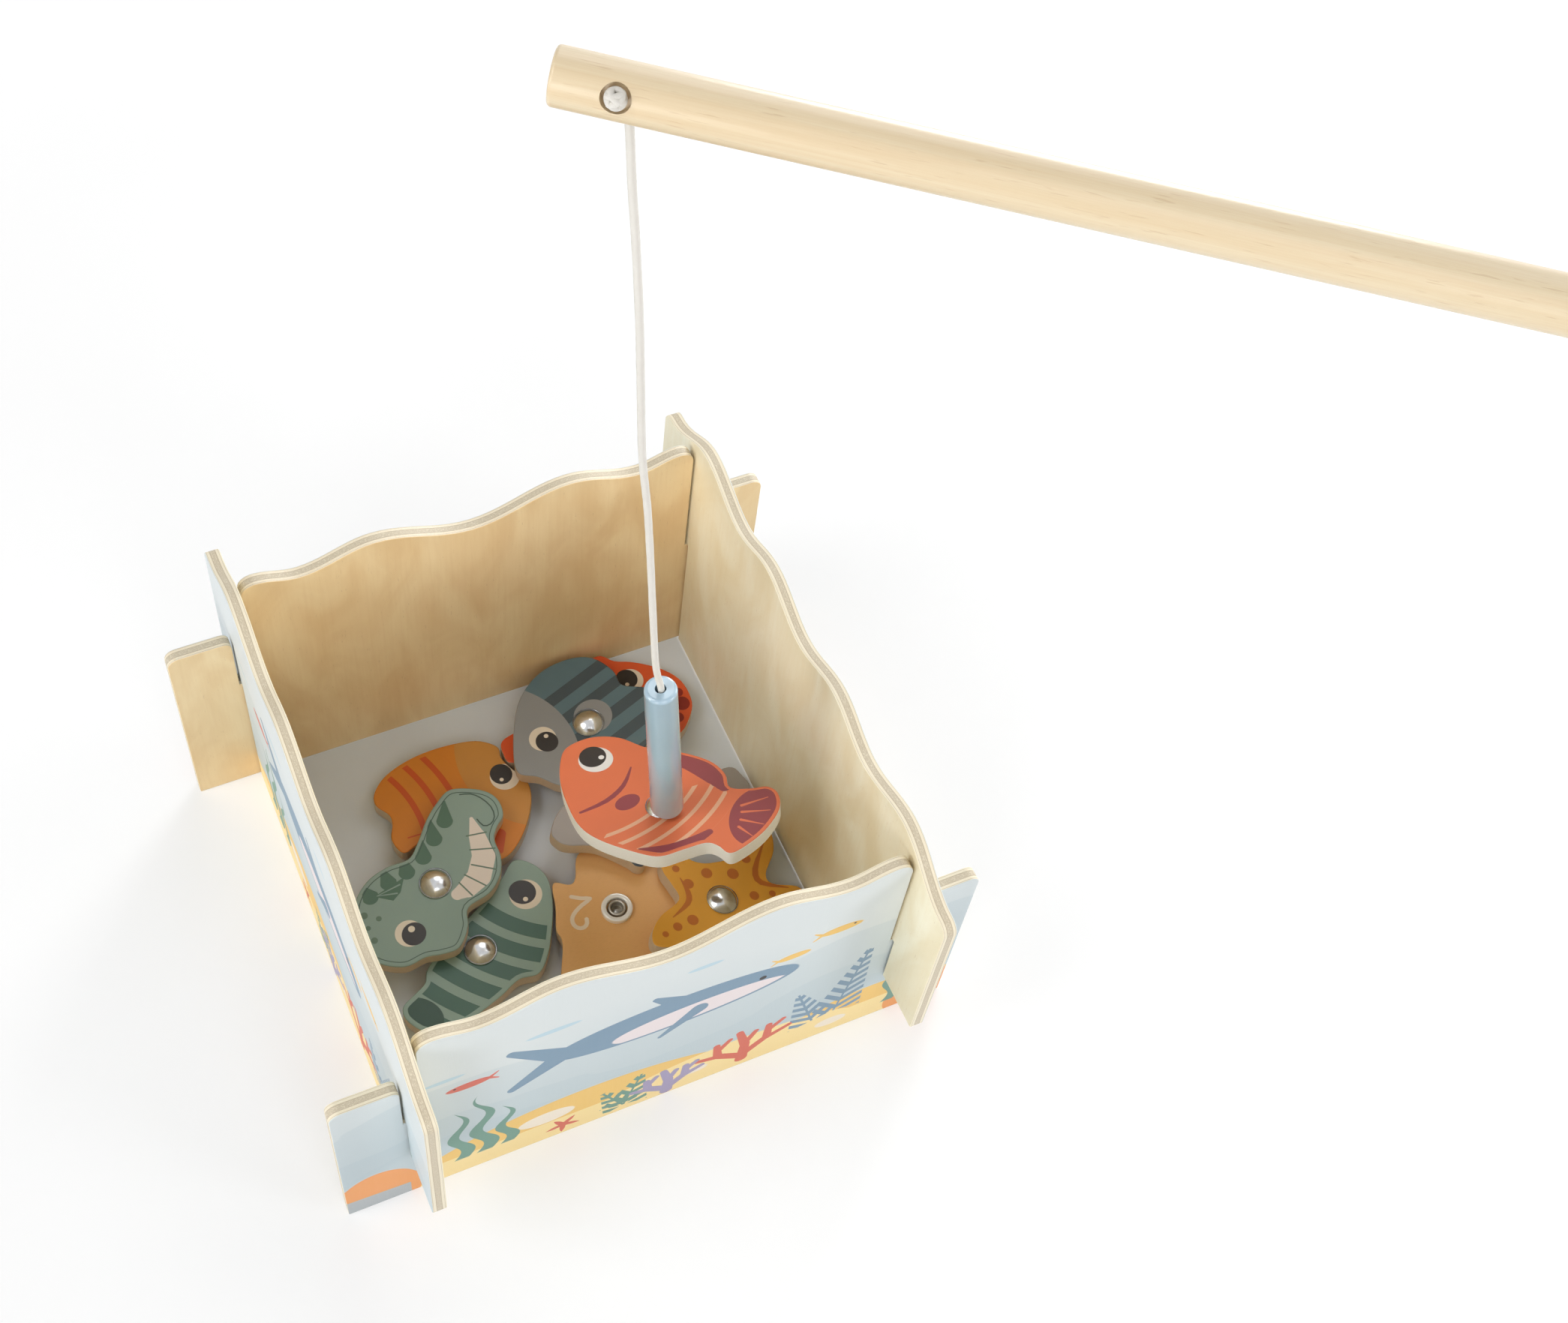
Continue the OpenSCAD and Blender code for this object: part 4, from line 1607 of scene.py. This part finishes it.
@dataclass(frozen=True)
class GamePiece:
    """One flat wooden piece with its cap, ring and rivet."""

    name: str
    base: Colour
    inks: tuple[Ink, ...]
    side: Colour = rgb(212, 192, 168)
    sawn: Colour = rgb(150, 112, 80)
    back: Colour = rgb(234, 182, 120)
    back_inks: tuple[Ink, ...] = ()
    margin: float = 0.0
    rim: float = 0.5 * MM
    sharp: float = 60
    smooth: float = 42
    level: float = 0.9995

    def build(self, place: Place, metal: dict[str, bpy.types.Material]) -> bpy.types.Object:
        """Models the piece and dresses its fittings.

        Args:
            place: Its frame.
            metal: Finishes of the cap, ring and rivet.

        Returns:
            The piece's wooden body.
        """
        node = f"{self.name}_body"
        body = copy_of(node, f"{self.name}_wood")
        sand(body, self.rim, self.sharp, 3)
        if self.margin:
            self.mark_margin(body, place)
        shade(body, self.smooth)
        finish = PieceFinish(f"{self.name}_print", place, self.margin, self.base, self.inks, self.side,
                             self.sawn, self.back, self.back_inks).build()
        stand_for(body, node, finish)
        for part, outline in (("cap", Fittings().dome()), ("rivet", Fittings().eyelet())):
            turned_part = lathe(f"{self.name}_turned_{part}", outline, place)
            stand_for(turned_part, f"{self.name}_{part}", metal[part])
        dress(f"{self.name}_ring", metal["ring"])
        return body

    def mark_margin(self, body: bpy.types.Object, place: Place) -> None:
        """Insets the face, so that the print can follow the piece's edge.

        Args:
            body: The wooden body.
            place: Its frame.
        """
        up = place.turn @ UP
        with editing(body) as mesh:
            mesh.verts.layers.float.new(FIELD)
            for face in mesh.faces:
                face.select_set(face.normal.dot(up) > self.level)
            bpy.ops.mesh.inset(thickness=self.margin * MM, use_even_offset=True)
            mesh = bmesh.from_edit_mesh(body.data)
            field = mesh.verts.layers.float[FIELD]
            for face in mesh.faces:
                if face.select:
                    for vert in face.verts:
                        vert[field] = 1.0


SEAHORSE_CURL = (
    (-13.0, 33.6), (-10.0, 36.0), (-6.0, 36.8), (-1.0, 36.0), (2.4, 33.4), (2.9, 30.2), (1.1, 28.2),
    (-2.2, 29.0),
)
SEAHORSE_BELLY = ((-4, 28), (1.7, 23.5), (8.2, 18.2), (11.2, 11), (10.5, 5), (8.8, 1))
NUMERAL_TWO = (
    (-13.3, -10.6), (-10.2, -8.7), (-7.4, -7.5), (-11.0, -6.1), (-14.0, -4.6), (-15.9, -2.9), (-16.6, -1.0),
    (-16.2, 0.9), (-14.9, 2.1), (-13.2, 2.2), (-11.9, 1.1), (-11.5, -0.4),
)
GREY_BARS = (-22.4, -12.9, -3.4, 6.1, 15.6)

YELLOW_FISH = GamePiece(
    "yellow_fish", rgb(218, 134, 42),
    (
        Ink(rgb(206, 144, 68), (Disc((31, 4), (24, 30)),)),
        Ink(RUST, (Arcs((-60, 12), 45.4, 7.3, 2.3, 3),), margin=1.2),
        Ink(RUST, strokes((1.0, 2.2), (3, -24, 6.5, -18))
            + strokes((0.3,), (-22, -1, -16, -2.5), (-20, -5, -14.5, -5.5))),
    ) + Eye((20.9, 1.3), 5.5, (20.4, 3.0), 4.1, (19.3, 0.9), 0.75).inks(),
    margin=1.8,
)

SEAHORSE = GamePiece(
    "seahorse", MIST,
    (
        Ink(MOSS, strokes(
            (3.0, 0.5), (-11.5, 22, -16, 28), (-10.5, 14, -16, 19), (-9.5, 6, -14, 11), (-11, -2, -16, 2),
            (-14, -9, -19, -6), (-16, -17, -20.5, -15.5)), margin=0.8),
        Ink(MOSS, (Patch(((-14.9, -16.2), (-8.4, -13.6), (-8.2, -9.5), (-10.6, -4.2))),)),
        Ink(MIST, strokes((0.12, 0.3), (-14.2, -15.4, -9.0, -10.6), (-14.2, -15.4, -10.2, -7.4))),
        Ink(rgb(52, 76, 64), (Stroke(SEAHORSE_CURL, (0.25,), 2),), contour=1.3),
        Ink(rgb(234, 222, 212), (Stroke(SEAHORSE_BELLY, (0.7, 3.0, 4.2, 4.3, 3.6, 2.2)),)),
        Ink(REED, strokes(
            (0.28,), (-1.5, 21.4, 3.4, 26.6), (2.6, 17.6, 9.6, 23.2), (6.4, 13.2, 14.6, 16.6),
            (6.6, 8.6, 15.2, 9.4), (6.8, 5.0, 13.4, 3.6))),
        Ink(REED, dots((-13.5, -24, 1.3), (-9.5, -27, 0.9), (-8.6, -22, 1.0), (-5, -29.5, 1.2))),
    ) + Eye((3.4, -20.6), 5.0, (4.9, -19.8), 4.2, (3.1, -18.8), 1.2).inks(),
    margin=1.6,
)

LONG_FISH = GamePiece(
    "long_fish", rgb(144, 168, 158),
    (
        Ink(rgb(66, 100, 88), (Arcs((60, -6), 43.5, 9, 5.6, 6),), margin=1.4),
        Ink(rgb(44, 74, 62), (Disc((-31, 9), (6.5, 9)),), margin=1.4),
    ) + Eye((26.3, -5.7), 5.9, (26.6, -4.2), 4.7, (24.5, -6.4), 0.9).inks(),
    margin=1.8,
)

GREY_FISH = GamePiece(
    "grey_fish", rgb(92, 118, 128),
    (
        Ink(rgb(66, 80, 88), tuple(
            Patch(((-30, y), (40, y - 4), (40, y + 0.6), (-30, y + 4.6))) for y in GREY_BARS)),
        Ink(rgb(146, 148, 150), (Disc((-39, 13), (34.5, 34.5)), Disc((3.2, 0.8), (7.3, 7.1)))),
    ) + Eye((-16.8, 6.9), 5.1, (-16.5, 4.9), 4.1, (-15.1, 6.9), 0.85).inks(),
)

CRAB = GamePiece(
    "crab", rgb(226, 92, 44),
    (
        Ink(rgb(150, 40, 26), dots(
            (20.8, -6.6, 2.0), (19.3, -11.5, 3.0), (14.5, -15.8, 2.2), (-40, 7, 2.0), (-34, 5, 1.4))),
    ) + Eye((8.6, 7.8), 5.1, (7.8, 9.0), 4.1, (6.6, 6.9), 0.8).inks(),
)

RAY = GamePiece(
    "ray", rgb(164, 158, 156),
    (
        Ink(rgb(60, 70, 82), (Disc((-15, -13), (5.5, 4.5)),)),
        Ink(rgb(140, 134, 132), dots(
            (-22, 14, 1.3), (-16, 8, 1.3), (-9, 4, 1.3), (8, -2, 1.3), (16, -6, 1.3), (24, -7, 1.3))),
    ),
)

TURNED_PIECE = GamePiece(
    "turned_piece", rgb(222, 130, 70),
    (
        Ink(rgb(176, 84, 44), (Arcs((40, 0), 24, 9, 3.5, 4),), margin=1.5),
    ) + Eye((-10, 16), 4.6, (-9.6, 16.4), 3.6, (-8.8, 17.6), 0.8).inks(),
    back_inks=(Ink(rgb(244, 226, 204), (Stroke(NUMERAL_TWO, (0.75,), 2),)),),
    margin=1.8,
)

STARFISH = GamePiece(
    "starfish", rgb(232, 168, 58),
    (
        Ink(rgb(196, 112, 40), dots(
            (-9.5, 9.5, 2.0), (-11.5, 16.5, 1.4), (-1, 11.8, 2.1), (8.5, 9.0, 2.2), (16, 13.5, 1.8),
            (24, 19.5, 1.3), (-14, -4.6, 2.1), (-20.5, -5.6, 1.7), (-26, -7.2, 1.2), (1.5, -9.5, 1.9),
            (2.5, -14, 1.2), (12.5, -1.5, 1.8), (19.5, -2.5, 1.3),
        ) + (
            Stroke(((-11.5, 12.5), (-11.0, 6.5), (-13.0, 2.2), (-20.5, -1.6)), (0.2, 1.0, 1.0, 0.2), 3),
            Stroke(((25.5, 18.0), (17.6, 8.6), (17.4, 2.8), (26.5, -1.8)), (0.2, 1.1, 1.1, 0.2), 3),
        )),
    ),
)

CAUGHT_FISH = GamePiece(
    "caught_fish", rgb(234, 123, 80),
    (
        Ink(rgb(243, 186, 150), (Arcs((-35, 30), 44.6, 5.4, 1.5, 4),),
            (Patch(((-24, -22), (4, -26), (24, -14), (21, 12), (2, 6), (-16, -6))),), 0.8),
        Ink(WINE, (
            Stroke(((2, 23.5), (11, 20), (18, 13), (21, 7.5)), (2.4, 4.4, 4.0, 2.0), 3),
            Stroke(((-8, -19), (2, -19.5), (10, -16.5), (15.4, -12.8)), (0.3, 2.0, 2.0, 1.2), 3),
            Disc((-11.8, 2.6), (4.6, 3.2), 35),
            Disc((31.5, -6.8), (9.2, 13.4), -14.6),
        ), margin=0.8),
        Ink(rgb(231, 122, 84), strokes(
            (0.55, 0.15), (26.5, -1.5, 35.5, 1.8), (26.5, -4.5, 36, -4.2), (26, -8, 33.5, -10.5),
            (25.2, -11.2, 29.5, -15.6))),
        Ink(WINE, (
            Stroke(((-10.6, 19), (-13.2, 10.5), (-19, 3.6), (-27.6, -1.2)), (0.3, 0.8, 0.9, 0.5), 3),
        )),
    ) + Eye((-22.7, 23.6), 6.0, (-23.8, 25.0), 4.7, (-20.8, 24.6), 1.0, rgb(247, 245, 242)).inks(),
    side=rgb(255, 254, 253),
    sawn=rgb(238, 234, 228),
    back=rgb(240, 236, 230),
    back_inks=(Ink(rgb(226, 110, 72), (Stroke(((-16.5, 4), (-14, 6), (-14, -4)), (0.85,)),)),),
    margin=1.1,
)

PIECES = (
    YELLOW_FISH, SEAHORSE, LONG_FISH, GREY_FISH, CRAB, RAY, TURNED_PIECE, STARFISH, CAUGHT_FISH,
)


@dataclass(frozen=True)
class Tackle:
    """Rod, magnet holder and magnet."""

    rod_tip: Point = (-8.3, -4.3, 387.9)
    rod_dip: float = 3.5
    rod_turn: float = -34
    rod_smooth: float = 50
    holder_smooth: float = 40

    def build(self, metal: dict[str, bpy.types.Material]) -> list[bpy.types.Object]:
        """Models and dresses the rod and the holder.

        Args:
            metal: Finish of the magnet, by the name magnet.

        Returns:
            The pieces.
        """
        tip = (Vector(self.rod_tip) + Vector((0, POND_MIDDLE_Y / MM, 0))) * MM
        rod = copy_of("rod", "turned_rod")
        shade(rod, self.rod_smooth)
        along_rod = Place(tip, turned(0, self.rod_dip, self.rod_turn))
        stand_for(rod, "rod", RodFinish(along_rod).build())
        holder = copy_of("magnet_holder", "lacquered_holder")
        shade(holder, self.holder_smooth)
        lacquer = GlossFinish("holder_lacquer", rgb(170, 196, 212), rgb(164, 190, 207), coat=0.8)
        stand_for(holder, "magnet_holder", lacquer.build())
        dress("magnet", metal["magnet"])
        return [rod, holder]


def main() -> None:
    """Builds the scene piece by piece."""
    logging.basicConfig(level=logging.INFO, format="%(message)s")
    Camera().build()
    cotton = CottonFinish().build()
    line = Line().build(cotton)
    LOG.info("%s: %d vertices", line.name, len(line.data.vertices))
    knots = [
        Knot("rod_line_knot", "rod_knot").build(cotton),
        Knot("holder_line_knot", "holder_knot").build(cotton),
    ]
    magnet = MetalFinish("magnet_nickel", rgb(120, 120, 122), rgb(96, 96, 98), 0.3, 0.15).build()
    tackle = Tackle().build({"magnet": magnet})
    panels = Pond().build()
    fittings = {
        "cap": MetalFinish("polished_steel", rgb(198, 199, 201), rgb(180, 179, 178), 0.17, 0.05,
                           0.001 * MM).build(),
        "ring": GlossFinish("white_plastic", rgb(250, 251, 253), rgb(240, 243, 247), 0.15, 1.0, 2.2).build(),
        "rivet": MetalFinish("rivet_steel", rgb(176, 172, 164), rgb(140, 134, 126), 0.28, 0.2).build(),
    }
    places = Heap().places()
    game = [piece.build(places[piece.name], fittings) for piece in PIECES]
    for built in knots + tackle + panels + game:
        LOG.info("%s: %d vertices", built.name, len(built.data.vertices))
    Studio().build()


if __name__ == "__main__":
    main()
